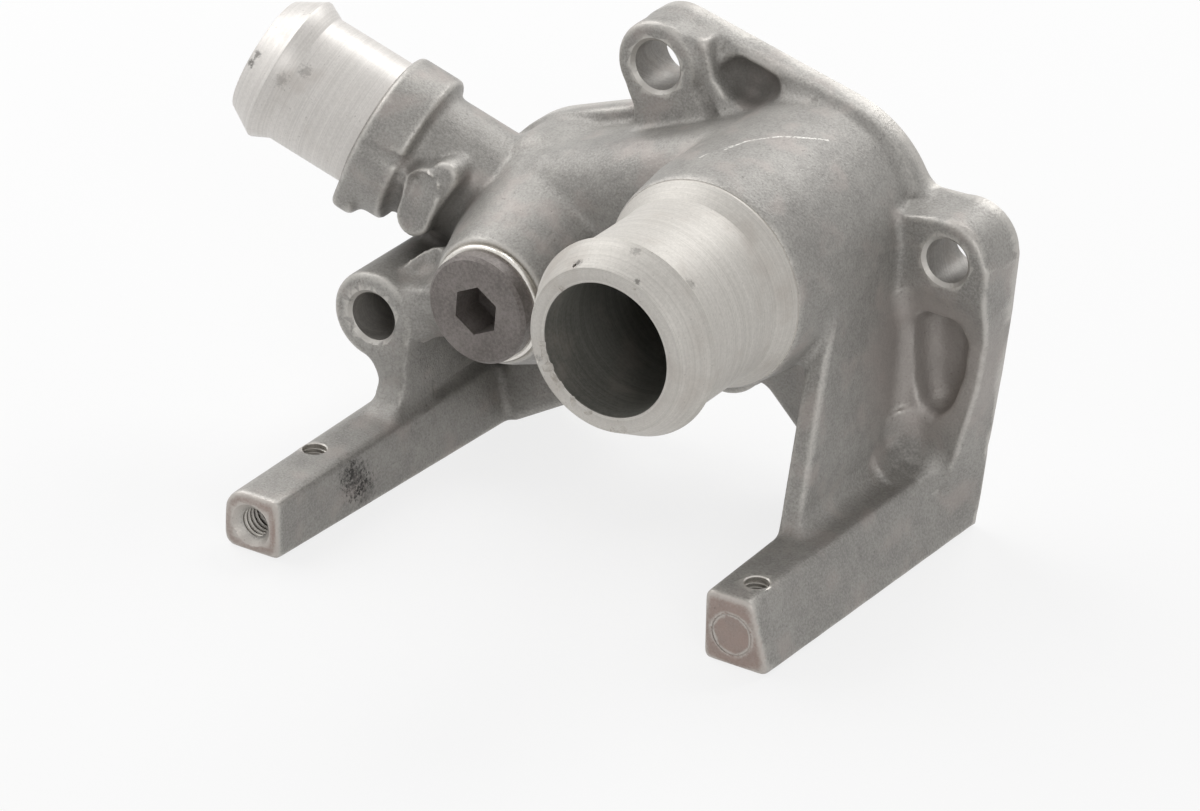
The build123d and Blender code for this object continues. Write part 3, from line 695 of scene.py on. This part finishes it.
height, radius = from_axis(end_place, TOWARDS_FRONT)
threaded = (height > end_bottom - 2) & (height < LEFT_ARM - 1)
finish_of[(radius < END_RADIUS + END_THREAD_DEPTH) & threaded] = THREAD
finish_of[(centres[:, 1] > -0.01) & (to_front < -0.9)] = MILLED
mesh.polygons.foreach_set("material_index", finish_of)
mesh.polygons.foreach_set("use_smooth", np.ones(face_count, dtype=bool))
print("faces by finish:", np.bincount(finish_of).tolist())

# %% [markdown]
# Smooth shading would smear the crisp machined edges. Edges that bend by more than 24
# degrees on machined metal or 40 degrees on the cast skin, and the borders between two
# finishes, are marked sharp.

# %% Sharp edges
MACHINED_CREASE = radians(24)
CAST_CREASE = radians(40)

lasting = bmesh.new()
lasting.from_mesh(mesh)
sharp = 0
for edge in lasting.edges:
    if len(edge.link_faces) == 2:
        one, two = (face.material_index for face in edge.link_faces)
        crease = CAST_CREASE if one == two == CAST else MACHINED_CREASE
        if edge.calc_face_angle(0) > crease or one != two:
            edge.smooth = False
            sharp += 1
print("sharp edges:", sharp)

# %% [markdown]
# The bend of the mesh at a point is how far its neighbours lie below the plane through it,
# seen along its normal: positive on a ridge, negative in a hollow. A little blurring makes
# it a soft band along each edge.

# %% Ridges and hollows
BLUR_REACH = 1.2 * MM
FULL_BEND = 0.11

lasting.verts.ensure_lookup_table()
lasting.normal_update()
bends = np.zeros(len(lasting.verts))
for vertex in lasting.verts:
    total = 0.0
    for edge in vertex.link_edges:
        away = edge.other_vert(vertex).co - vertex.co
        if away.length > 1e-6:
            total -= vertex.normal.dot(away) / away.length
    bends[vertex.index] = total / max(len(vertex.link_edges), 1)
pairs = np.array([[edge.verts[0].index, edge.verts[1].index] for edge in lasting.edges])
reach = np.array([edge.calc_length() for edge in lasting.edges])
weights = 1 / (1 + (reach / BLUR_REACH) ** 2)


def blurred(values, rounds):
    """Values evened out over neighbouring points, near ones counting most."""
    for _ in range(rounds):
        total = values.copy()
        share = np.ones(len(values))
        for first, second in ((0, 1), (1, 0)):
            np.add.at(total, pairs[:, first], values[pairs[:, second]] * weights)
            np.add.at(share, pairs[:, first], weights)
        values = total / share
    return values


soft_bends = blurred(bends, 2)
print("bends, low to high:", np.percentile(soft_bends, (2, 10, 50, 90, 98)).round(3).tolist())
ridges = np.clip(soft_bends / FULL_BEND, 0, 1)
hollows = np.clip(-soft_bends / FULL_BEND, 0, 1)
print("ridge points:", int((ridges > 0.5).sum()), "hollow points:", int((hollows > 0.5).sum()))

# %% [markdown]
# For shelter, each point looks out in fourteen directions on the side its normal faces.
# The nearer the casting stands in a direction, the more that direction counts.

# %% Sheltered places
LOOKS = 14
LOWEST_LOOK = 0.12
LOOK_SPREAD = 0.85
VIEW = 24.0
CLEARANCE = 0.05

tree = BVHTree.FromBMesh(lasting)
golden = pi * (3 - 5**0.5)
outlooks = []
for index in range(LOOKS):
    height = LOWEST_LOOK + LOOK_SPREAD * (index + 0.5) / LOOKS
    across = (1 - height**2) ** 0.5
    outlooks.append(Vector((across * cos(index * golden), across * sin(index * golden), height)))
shelter = np.zeros(len(lasting.verts))
step = 1
for vertex in lasting.verts:
    if vertex.index % step:
        continue
    turn = UPWARDS.rotation_difference(vertex.normal)
    start = vertex.co + vertex.normal * CLEARANCE * MM
    hidden = 0.0
    for outlook in outlooks:
        _, _, _, distance = tree.ray_cast(start, turn @ outlook, VIEW * MM)
        if distance is not None:
            hidden += 1 - distance / (VIEW * MM)
    shelter[vertex.index] = hidden / LOOKS
shelter = blurred(shelter, 2)
print("mean shelter:", round(float(shelter.mean()), 3), "most:", round(float(shelter.max()), 3))

# %% [markdown]
# The rough end faces of the two arms have a tint of their own, so they are remembered too.
# Then the four attributes go into the mesh, and the casting takes the place of the packed
# housing.

# %% Arm ends, attributes and the replaced node
LEFT_END_BAND = 1.4
RIGHT_END_BAND = 0.8
ARM_LEVEL = -0.04

end_faces = np.zeros(len(lasting.verts))
for vertex in lasting.verts:
    depth = -vertex.co.y / MM
    on_right = depth > RIGHT_ARM - RIGHT_END_BAND and vertex.co.x > 0
    on_end = depth > LEFT_ARM - LEFT_END_BAND or on_right
    if on_end and vertex.co.z < ARM_LEVEL and vertex.normal.y < -0.5:
        end_faces[vertex.index] = 1.0
lasting.to_mesh(mesh)
lasting.free()
facts = {"ridge": ridges, "hollow": hollows, "shelter": shelter, "end_face": end_faces}
for name, values in facts.items():
    attribute = mesh.attributes.new(name, "FLOAT", "POINT")
    attribute.data.foreach_set("value", values.astype(np.float32))
print("attributes:", ", ".join(facts))

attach(casting, "housing_body")
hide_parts("housing")

# %% [markdown]
# ## Finishes
#
# A finish is a node tree, but it reads better as sums. `Wire` wraps a socket and turns
# Python's operators into Math nodes, so that `1 - mask` is a node too.

# %% Sums made of nodes
class Wire:
    """A socket that can be used in sums."""

    def __init__(self, socket):
        self.socket = socket

    def maths(self, operation, *operands):
        tree = self.socket.id_data
        node = tree.nodes.new("ShaderNodeMath")
        node.operation = operation
        for slot, value in zip(node.inputs, operands):
            if isinstance(value, Wire):
                tree.links.new(value.socket, slot)
            else:
                slot.default_value = value
        return Wire(node.outputs[0])

    def __add__(self, other):
        return self.maths("ADD", self, other)

    def __radd__(self, other):
        return self.maths("ADD", other, self)

    def __sub__(self, other):
        return self.maths("SUBTRACT", self, other)

    def __rsub__(self, other):
        return self.maths("SUBTRACT", other, self)

    def __mul__(self, other):
        return self.maths("MULTIPLY", self, other)

    def __rmul__(self, other):
        return self.maths("MULTIPLY", other, self)


print("sums of nodes ready")

# %% [markdown]
# Any other node comes from `Nodes.add`, which takes its kind, its settings, and the values
# or wires of its inputs. `Finish` starts a material and has short names for what most
# finishes need: grain, ramps, blends, marks, scratches and relief.

# %% A material fed by nodes
FULL_MARK = 1.05
MARK_EDGE = 1.75
SCRATCH_CORE = 0.3


class Nodes:
    """A node tree that nodes are added to."""

    def __init__(self, tree):
        self.tree = tree

    def feed(self, node, name, value):
        """Sets an input of a node, or links a wire to it."""
        if isinstance(value, Wire):
            self.tree.links.new(value.socket, node.inputs[name])
        else:
            node.inputs[name].default_value = value

    def add(self, kind, settings, values, output=0):
        """Makes any node and gives one of its outputs."""
        node = self.tree.nodes.new(kind)
        for name, value in settings.items():
            setattr(node, name, value)
        for name, value in values.items():
            self.feed(node, name, value)
        return Wire(node.outputs[output])


class Finish(Nodes):
    """A material with one shader, fed by nodes."""

    def __init__(self, name, colour, metallic, roughness):
        self.material = bpy.data.materials.new(name)
        self.material.use_nodes = True
        super().__init__(self.material.node_tree)
        self.shader = self.tree.nodes["Principled BSDF"]
        self.shader.inputs["Metallic"].default_value = metallic
        self.shader.inputs["Roughness"].default_value = roughness
        self.shader.inputs["Base Color"].default_value = (*colour, 1)

    def vectors(self, operation, values, output="Vector"):
        """Sum of vectors."""
        return self.add("ShaderNodeVectorMath", {"operation": operation}, values, output)

    def place(self):
        """Object coordinates."""
        return self.add("ShaderNodeTexCoord", {}, {}, "Object")

    def grain(self, place, size, detail=2.0, roughness=0.5):
        """Noise around 0.5 whose lumps are this many millimetres wide."""
        shape = {"Scale": 1 / (size * MM), "Detail": detail, "Roughness": roughness}
        return self.add("ShaderNodeTexNoise", {}, {"Vector": place, **shape}, "Fac")

    def ramp(self, value, first, last, low=0.0, high=1.0):
        """Value spread from one range to another, smoothly and held at its ends."""
        smooth = {"interpolation_type": "SMOOTHSTEP"}
        ends = {"From Min": first, "From Max": last, "To Min": low, "To Max": high}
        return self.add("ShaderNodeMapRange", smooth, {"Value": value, **ends}, "Result")

    def blend(self, mask, first, second):
        """Colour between two colours."""
        first, second = (
            value if isinstance(value, Wire) else (*value, 1) for value in (first, second)
        )
        return self.add("ShaderNodeMix", {"data_type": "RGBA"}, {0: mask, 6: first, 7: second}, 2)

    def remembered(self, name):
        """Attribute of the mesh."""
        return self.add("ShaderNodeAttribute", {"attribute_name": name}, {}, "Fac")

    def marks(self, place, spots, rough):
        """Ragged marks, each given by a point, a size and a strength."""
        total = 0.0
        for point, size, strength in spots:
            middle = tuple(value * MM for value in point)
            away = self.vectors("DISTANCE", {0: place, 1: middle}, "Value")
            mark = self.ramp(away * (1 / (size * MM)) + rough, MARK_EDGE, FULL_MARK)
            total = total + mark * strength
        return total

    def scratches(self, place, lines, width):
        """Thin lines between pairs of points."""
        total = 0.0
        for first, last in lines:
            start = Vector(first) * MM
            run = Vector(last) * MM - start
            offset = self.vectors("SUBTRACT", {0: place, 1: tuple(start)})
            pull = {0: offset, 1: tuple(run / run.length_squared)}
            along = self.vectors("DOT_PRODUCT", pull, "Value")
            held = along.maths("MINIMUM", along.maths("MAXIMUM", along, 0.0), 1.0)
            foot = self.vectors("SCALE", {0: tuple(run), "Scale": held})
            gap = self.vectors("DISTANCE", {0: offset, 1: foot}, "Value")
            total = total + self.ramp(gap, width * MM, SCRATCH_CORE * width * MM)
        return total

    def relief(self, height, depth, strength=1.0):
        """Bump of this depth in millimetres, on the shader's normal."""
        values = {"Height": height, "Distance": depth * MM, "Strength": strength}
        self.feed(self.shader, "Normal", self.add("ShaderNodeBump", {}, values, "Normal"))

    def show(self, **wires):
        """Links wires to the shader's inputs, named without their spaces."""
        for name, value in wires.items():
            self.feed(self.shader, name.replace("_", " ").title(), value)
        return self.material


print("node helpers ready")

# %% [markdown]
# ### Cast skin
#
# Die-cast aluminium that has worked for years is a dull warm grey. Up close it is speckled,
# because dirt fills the pores and the peaks are rubbed bright. Ridges are lighter from wear
# and from a painted highlight, the tight curves of inside corners carry a painted highlight,
# and sheltered places are darkened by oily dust and by painted shade. The pocket below the
# right bolt hole is painted lighter, as a painted pool of light with its painted shade taken
# off, thin scratches cross the dome, and one dark porous stain lies on the inner side of the
# left arm.

# %% Cast aluminium
CAST_DARK = (0.245, 0.235, 0.22)
CAST_LIGHT = (0.405, 0.39, 0.366)
CAST_WARM = (0.42, 0.37, 0.345)
CAST_MEAN = (0.36, 0.345, 0.325)
POCKET_LIGHT_TONE = (0.44, 0.395, 0.37)
ARM_END_TONE = (0.37, 0.26, 0.22)
RUBBED_AND_HIGHLIGHT_TONE = (0.62, 0.595, 0.555)
GRIME_AND_SHADE_TONE = (0.085, 0.078, 0.068)
PORE_TONE = (0.12, 0.113, 0.104)
STAIN_TONE = (0.03, 0.027, 0.024)
SCRATCH_TONE = (0.8, 0.78, 0.74)
SCRATCH_WIDTH = 0.3
SKIN_RELIEF = 0.13
ARM_STAIN = (
    ((-59.3, -56.3, -47.4), 5.2, 0.85),
    ((-59.3, -58.9, -45.4), 3.6, 0.5),
    ((-59.3, -54.2, -50.4), 4.4, 0.5),
)
POCKET_LIGHT_SPOT = (((24.0, -6.0, -20.0), 13.0, 1.0),)
DOME_SCRATCHES = (
    ((-2.7, -30.3, 19.8), (-1.5, -25.9, 19.9)),
    ((-1.5, -25.9, 19.9), (2.0, -20.9, 19.9)),
    ((2.0, -20.9, 19.9), (5.0, -17.9, 19.3)),
    ((5.0, -17.9, 19.3), (7.8, -14.6, 18.4)),
    ((-5.6, -33.5, 18.8), (-1.9, -27.5, 19.9)),
)

cast = Finish("cast aluminium", CAST_MEAN, 0.4, 0.45)
place = cast.place()
speckle = cast.grain(place, 0.42, 3.0, 0.65)
cloud = cast.grain(place, 11.0, 3.0)
patch = cast.grain(place, 3.2, 3.0, 0.6)
lumps = cast.grain(place, 2.6, 2.0)
pores = cast.ramp(cast.grain(place, 0.8, 2.0, 0.7), 0.34, 0.26)
warmth = cast.ramp(cast.grain(place, 6.5, 2.0), 0.5, 0.72)
ridge_bend = cast.remembered("ridge")
hollow = cast.remembered("hollow")
shelter = cast.remembered("shelter")
arm_end = cast.remembered("end_face") * (0.35 + patch * 0.5)
stain = cast.marks(place, ARM_STAIN, cast.grain(place, 0.7, 4.0, 0.8) * 3.4 - 0.75)
lines = cast.scratches(place, DOME_SCRATCHES, SCRATCH_WIDTH) * cast.ramp(speckle, 0.35, 0.55)
# Painted light: the pocket below the right bolt hole is lightened and warmed, and its painted shade
# is taken off.
pocket_light = cast.marks(place, POCKET_LIGHT_SPOT, 0.3)
# Painted shade: sheltered places and creases are darkened, partly as oily dust and partly as
# painted shade.
grime_and_shade = cast.ramp(shelter * 1.6 + hollow * 0.3 + cloud * 0.35, 0.68, 1.22) * (1 - pocket_light * 0.8)
# Painted highlight: ridges are lightened for wear and as a painted highlight, inside curves as a
# painted highlight.
light = cast.ramp(ridge_bend + hollow * 0.65 + speckle * 0.5, 0.42, 1.15)
tone = cast.ramp(speckle * 0.8 + cloud * 0.35 + patch * 0.3, 0.45, 1.0)

colour = cast.blend(tone, CAST_DARK, CAST_LIGHT)
colour = cast.blend(warmth * 0.5, colour, CAST_WARM)
# Painted pool of light in the pocket.
colour = cast.blend(pocket_light * 0.55, colour, POCKET_LIGHT_TONE)
colour = cast.blend(arm_end, colour, ARM_END_TONE)
# Rubbed ridges and painted highlights.
colour = cast.blend(light * 0.7, colour, RUBBED_AND_HIGHLIGHT_TONE)
# Oily dust and painted shade.
colour = cast.blend(grime_and_shade * 0.74, colour, GRIME_AND_SHADE_TONE)
colour = cast.blend(pores * 0.35, colour, PORE_TONE)
colour = cast.blend(stain * 0.85, colour, STAIN_TONE)
colour = cast.blend(lines * 0.75, colour, SCRATCH_TONE)
cast.relief(speckle + lumps * 1.6 - pores * 0.4 - stain * 0.8, SKIN_RELIEF, 0.7)
cast_material = cast.show(
    base_color=colour,
    roughness=cast.ramp(light * 0.5 - grime_and_shade, -0.6, 0.5, 0.66, 0.4),
    metallic=cast.ramp(grime_and_shade, 0.2, 1.0, 0.42, 0.1),
)
print("cast finish:", len(cast.tree.nodes), "nodes")

# %% [markdown]
# ### Turned metal
#
# A lathe leaves fine rings. On the stub's wall they follow each other along the axis, on
# its end they lie one inside another. One number gives both: the height along the axis
# minus the distance from it. A `Mapping` node first turns the small outlet's axis upright.

# %% Turned aluminium
SMUDGE_TONE = (0.44, 0.385, 0.34)
DOT_TONE = (0.2, 0.18, 0.16)
DUST_AND_SHADE_TONE = (0.07, 0.063, 0.056)
MARK_TONE = (0.1, 0.09, 0.08)
FINE_RINGS = {"Scale": 4200.0, "Detail": 3.0}
BROAD_RINGS = {"Scale": 700.0, "Detail": 2.0}
RING_RELIEF = 0.022
BIG_STUB_MARKS = (
    ((-5.9, -69.3, 13.4), 1.2, 0.8),
    ((2.6, -65.6, 16.5), 1.3, 0.45),
    ((11.1, -63.0, 11.8), 1.6, 0.4),
    ((5.5, -69.8, 13.6), 0.8, 0.7),
    ((-12.6, -70.4, -5.0), 1.0, 0.5),
)
SMALL_STUB_MARKS = (
    ((-98.0, -32.7, 12.8), 1.2, 0.85),
    ((-97.2, -32.0, 14.3), 1.0, 0.7),
    ((-88.5, -30.0, 12.5), 1.6, 0.35),
    ((-91.6, -32.7, 11.2), 1.8, 0.3),
)


def turned_finish(name, start, direction, spots, tones, shine, roughness, dust_and_shade_share=0.6):
    """Turned metal with rings round an axis."""
    metal = Finish(name, tones[1], shine, roughness)
    place = metal.place()
    turn = lay(direction, start).to_euler()
    moved = {"Location": tuple(start), "Rotation": tuple(turn), "Scale": (1, 1, 1)}
    to_axis = {"Vector": place, **moved}
    upright = metal.add("ShaderNodeMapping", {"vector_type": "TEXTURE"}, to_axis, "Vector")
    x, y, z = (metal.add("ShaderNodeSeparateXYZ", {}, {"Vector": upright}, axis) for axis in "XYZ")
    across = metal.add("ShaderNodeCombineXYZ", {}, {"X": x, "Y": y, "Z": 0.0}, "Vector")
    travel = z - metal.vectors("LENGTH", {0: across}, "Value")
    along = {"noise_dimensions": "1D"}
    fine = metal.add("ShaderNodeTexNoise", along, {"W": travel, **FINE_RINGS}, "Fac")
    broad = metal.add("ShaderNodeTexNoise", along, {"W": travel, **BROAD_RINGS}, "Fac")
    cloud = metal.grain(place, 8.0, 4.0, 0.6)
    frost = metal.grain(place, 0.5, 3.0, 0.7)
    dots = metal.ramp(metal.grain(place, 0.6, 2.0), 0.31, 0.25)
    # Dust and painted shade: sheltered places, such as the insides of bores, are darkened, partly
    # as dust and partly as painted shade.
    dust_and_shade = metal.ramp(metal.remembered("shelter") + cloud * 0.3, 0.5, 1.1)
    smudge = metal.ramp(cloud, 0.5, 0.74)
    tone = metal.ramp(fine * 0.35 + broad * 0.25 + frost * 0.5, 0.35, 0.8)

    colour = metal.blend(tone, *tones)
    colour = metal.blend(smudge * 0.3, colour, SMUDGE_TONE)
    colour = metal.blend(dots * 0.3, colour, DOT_TONE)
    # Dust and painted shade.
    colour = metal.blend(dust_and_shade * dust_and_shade_share, colour, DUST_AND_SHADE_TONE)
    if spots:
        rough = metal.grain(place, 0.6, 4.0, 0.75) * 2.6 - 0.45
        colour = metal.blend(metal.marks(place, spots, rough), colour, MARK_TONE)
    metal.relief(fine * 0.4 + broad * 0.6 + frost * 0.6, RING_RELIEF, 0.5)
    wear = fine * 0.3 + smudge * 0.5 + dust_and_shade
    rough = metal.ramp(wear, 0.1, 1.0, roughness, roughness + 0.15)
    return metal.show(base_color=colour, roughness=rough)


print("rings across a stub, fine and broad:", FINE_RINGS["Scale"], BROAD_RINGS["Scale"])

# %% [markdown]
# The same rings serve every surface that a turning tool has cut. The hose stubs are pale,
# the bolt holes are a duller grey, the threads are bare bright metal, and the chambers
# are painted dark, as painted shade deep inside the bores.

# %% Turned, drilled and tapped finishes
PALE = ((0.54, 0.515, 0.475), (0.71, 0.68, 0.635))
BRIGHT = ((0.64, 0.612, 0.58), (0.80, 0.77, 0.735))
DRILLED = ((0.27, 0.257, 0.24), (0.42, 0.4, 0.375))
# Painted shade: the dark chamber tones stand for the shade deep inside the bores.
CHAMBER_SHADE_TONES = ((0.15, 0.147, 0.13), (0.26, 0.255, 0.23))

turned_material = turned_finish("turned aluminium", *front, BIG_STUB_MARKS, PALE, 0.25, 0.52)
side_turned_material = turned_finish(
    "turned aluminium, small stub", *side, SMALL_STUB_MARKS, BRIGHT, 0.35, 0.42
)
bored_material = turned_finish("drilled aluminium", *front, (), DRILLED, 0.3, 0.5, dust_and_shade_share=0.35)
thread_material = turned_finish("tapped thread", *front, (), PALE, 0.7, 0.3, dust_and_shade_share=0.1)
chamber_material = turned_finish("chamber painted shade", *front, (), CHAMBER_SHADE_TONES, 0.1, 0.5)
print("turned finishes made")

# %% [markdown]
# The sealing face was milled, which leaves long shallow lines side by side. Noise that is
# stretched along X draws them. With this finish the casting's list is complete, in the
# order of the numbers that its faces carry.

# %% Milled aluminium
MILLED_TONES = ((0.44, 0.43, 0.41), (0.68, 0.665, 0.64))
MILLED_MEAN = (0.6, 0.59, 0.57)
MILLED_RELIEF = 0.03
UNMOVED = {"Location": (0, 0, 0), "Rotation": (0, 0, 0)}

milled = Finish("milled aluminium", MILLED_MEAN, 0.85, 0.38)
place = milled.place()
stretch = {"Vector": place, **UNMOVED, "Scale": (0.02, 1, 1)}
strokes = milled.grain(milled.add("ShaderNodeMapping", {}, stretch, "Vector"), 0.5, 3.0, 0.7)
cloud = milled.grain(place, 8.0, 3.0)
milled.relief(strokes, MILLED_RELIEF, 0.5)
milled_material = milled.show(
    base_color=milled.blend(milled.ramp(strokes + cloud * 0.5, 0.5, 1.0), *MILLED_TONES),
    roughness=milled.ramp(cloud, 0.3, 0.7, 0.3, 0.46),
)

material_of = {
    CAST: cast_material,
    TURNED: turned_material,
    SIDE_TURNED: side_turned_material,
    MILLED: milled_material,
    BORED: bored_material,
    CHAMBER: chamber_material,
    THREAD: thread_material,
}
for finish in sorted(material_of):
    casting.data.materials.append(material_of[finish])
print("casting finishes:", len(casting.data.materials))

# %% [markdown]
# ### Small parts
#
# The plug is dull brownish steel, turned and handled; its washer is bright. The valve
# insert inside is pressed sheet, brass and drawn wire. The finishes go on the CAD nodes,
# whose shapes are right as they are.

# %% Plug, washer and valve insert
SMALL_RELIEF = 0.03
BRASS = ((0.5, 0.38, 0.2), (0.74, 0.6, 0.36))
SHEET = ((0.5, 0.5, 0.5), (0.72, 0.72, 0.73))
VALVE_SHEET = ((0.48, 0.48, 0.48), (0.7, 0.7, 0.71))
DULL_STEEL = ((0.15, 0.132, 0.122), (0.29, 0.262, 0.247))
RING_STEEL = ((0.4, 0.4, 0.41), (0.6, 0.6, 0.61))
ROD_STEEL = ((0.62, 0.62, 0.63), (0.78, 0.78, 0.79))
DRAWN_WIRE = ((0.44, 0.44, 0.45), (0.64, 0.64, 0.65))
WASHER = ((0.62, 0.59, 0.54), (0.86, 0.83, 0.78))
RUBBER = ((0.02, 0.02, 0.021), (0.05, 0.05, 0.052))


def small_finish(name, tones, metallic, rough, size, stretch=(1, 1, 1)):
    """Finish between two tones, with lumps or lines of a size in millimetres."""
    small = Finish(name, tones[1], metallic, rough[0])
    place = small.place()
    values = {"Vector": place, **UNMOVED, "Scale": stretch}
    lines = small.grain(small.add("ShaderNodeMapping", {}, values, "Vector"), size, 3.0, 0.65)
    cloud = small.grain(place, size * 9, 3.0)
    tone = small.ramp(lines * 0.7 + cloud * 0.5, 0.35, 0.85)
    small.relief(lines, SMALL_RELIEF, 0.6)
    return small.show(
        base_color=small.blend(tone, *tones),
        roughness=small.ramp(cloud, 0.35, 0.65, *rough),
    )


SMALL_PARTS = {
    "screw_plug": ("plug steel", DULL_STEEL, 0.3, (0.45, 0.6), 0.5),
    "plug_washer": ("washer metal", WASHER, 0.9, (0.24, 0.36), 0.6),
    "seat_seal": ("seal rubber", RUBBER, 0.0, (0.6, 0.8), 0.4),
    "seat_ring": ("pressed sheet", SHEET, 0.9, (0.28, 0.42), 0.3, (0.1, 1, 1)),
    "retaining_ring": ("ring steel", RING_STEEL, 0.9, (0.3, 0.42), 0.3),
    "push_rod": ("polished rod", ROD_STEEL, 0.95, (0.14, 0.24), 0.2, (1, 0.05, 1)),
    "wax_capsule": ("turned brass", BRASS, 0.9, (0.26, 0.4), 0.3, (0.2, 1, 0.2)),
    "valve_plate": ("valve sheet", VALVE_SHEET, 0.9, (0.28, 0.42), 0.3),
    "return_spring": ("spring wire", DRAWN_WIRE, 0.9, (0.3, 0.42), 0.25),
    "spring_bridge": ("stirrup sheet", SHEET, 0.9, (0.28, 0.42), 0.3),
    "bleed_pin": ("pin brass", BRASS, 0.9, (0.26, 0.4), 0.2),
}
small_materials = {node: small_finish(*details) for node, details in SMALL_PARTS.items()}
for node, material in small_materials.items():
    node_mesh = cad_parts[node].data
    node_mesh.materials.clear()
    node_mesh.materials.append(material)
print("finished nodes:", len(small_materials))

# %% [markdown]
# The return spring gets an object and a mesh of its own, hung on the housing body in place of its
# CAD node. The return spring is pressed together when the valve opens, which no rigid node can
# show.

wire = bmesh.new()
wire.from_mesh(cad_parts["return_spring"].data)
bmesh.ops.remove_doubles(wire, verts=wire.verts, dist=TOUCHING)
spring = plain_object("spring_wire", wire)
spring.data.materials.clear()
spring.data.materials.append(small_materials["return_spring"])
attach(spring, "housing_body")
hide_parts("return_spring")
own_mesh(spring)

# %% [markdown]
# ## Floor and light
#
# The floor is pale and keeps a soft shadow. Part of its white is a glow that only the
# camera and reflections see, told apart by Light Path, so the shadow stays faint.

# %% Floor
FLOOR_SIZE = 6
FLOOR_WHITE = (0.9, 0.9, 0.9)
FLOOR_GLOW = 0.8
PURE_WHITE = (1, 1, 1, 1)


def seen_directly(nodes):
    """One for rays that the camera sends out, also when they are reflected or go through."""
    kinds = ("Is Camera Ray", "Is Glossy Ray", "Is Transmission Ray")
    first, second, third = (nodes.add("ShaderNodeLightPath", {}, {}, kind) for kind in kinds)
    return first + second + third


ground = cad_box[0][2]
floor_shape = bmesh.new()
bmesh.ops.create_grid(
    floor_shape,
    x_segments=1,
    y_segments=1,
    size=FLOOR_SIZE,
    matrix=Matrix.Translation((0, 0, ground)),
)
floor = plain_object("floor", floor_shape)
pale = Finish("pale floor", FLOOR_WHITE, 0.0, 0.9)
pale.shader.inputs["Specular IOR Level"].default_value = 0.0
share = seen_directly(pale) * FLOOR_GLOW
matt = Wire(pale.shader.outputs["BSDF"])
glow = pale.add("ShaderNodeEmission", {}, {"Color": PURE_WHITE, "Strength": 1.0}, "Emission")
surface = pale.add("ShaderNodeMixShader", {}, {0: share, 1: matt, 2: glow}, "Shader")
pale.feed(pale.tree.nodes["Material Output"], "Surface", surface)
floor.data.materials.append(pale.material)
floor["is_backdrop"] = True
print("floor at", round(ground / MM, 1), "mm")

# %% [markdown]
# The room around is white where it is seen, and gives a much weaker even light.

# %% World
ROOM_LIGHT = 0.26

world = bpy.data.worlds.new("room")
bpy.context.scene.world = world
world.use_nodes = True
room = Nodes(world.node_tree)
background = room.tree.nodes["Background"]
room.feed(background, "Color", PURE_WHITE)
room.feed(background, "Strength", seen_directly(room) * (1 - ROOM_LIGHT) + ROOM_LIGHT)
print("room light:", ROOM_LIGHT)

# %% [markdown]
# Four soft lamps, given by place, size and power, stand at the top left, behind, at the
# left and in front at the right. Each one looks at the middle of the housing.

# %% Lamps
HOUSING_MIDDLE = Vector((-0.02, -0.03, -0.01))
LAMPS = (
    ("top left lamp", (-0.62, 0.06, 0.66), 0.8, 4.4),
    ("back lamp", (0.02, 0.70, 0.70), 0.6, 3.8),
    ("left lamp", (-0.75, -0.55, 0.35), 0.45, 0.4),
    ("front lamp", (0.66, -0.62, 0.40), 0.35, 1.6),
)

for name, place, size, power in LAMPS:
    lamp_data = bpy.data.lights.new(name, "AREA")
    lamp_data.shape = "DISK"
    lamp_data.size = size
    lamp_data.energy = power
    lamp = new_object(name, lamp_data)
    look = (HOUSING_MIDDLE - Vector(place)).to_track_quat("-Z", "Y")
    lamp.matrix_world = Matrix.Translation(place) @ look.to_matrix().to_4x4()
bpy.context.scene.view_settings.view_transform = "Standard"
print("lamps:", len(LAMPS))

# %% [markdown]
# Last, the size of the dressed model is written beside the size of the CAD model, so that
# the two can be compared.

# %% Sizes, and finish
visual_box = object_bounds()
boxes = {"cad": cad_box, "visual": visual_box}
boxes = {name: [list(corner) for corner in box] for name, box in boxes.items()}
print("CAD box", boxes["cad"], "visual box", boxes["visual"])
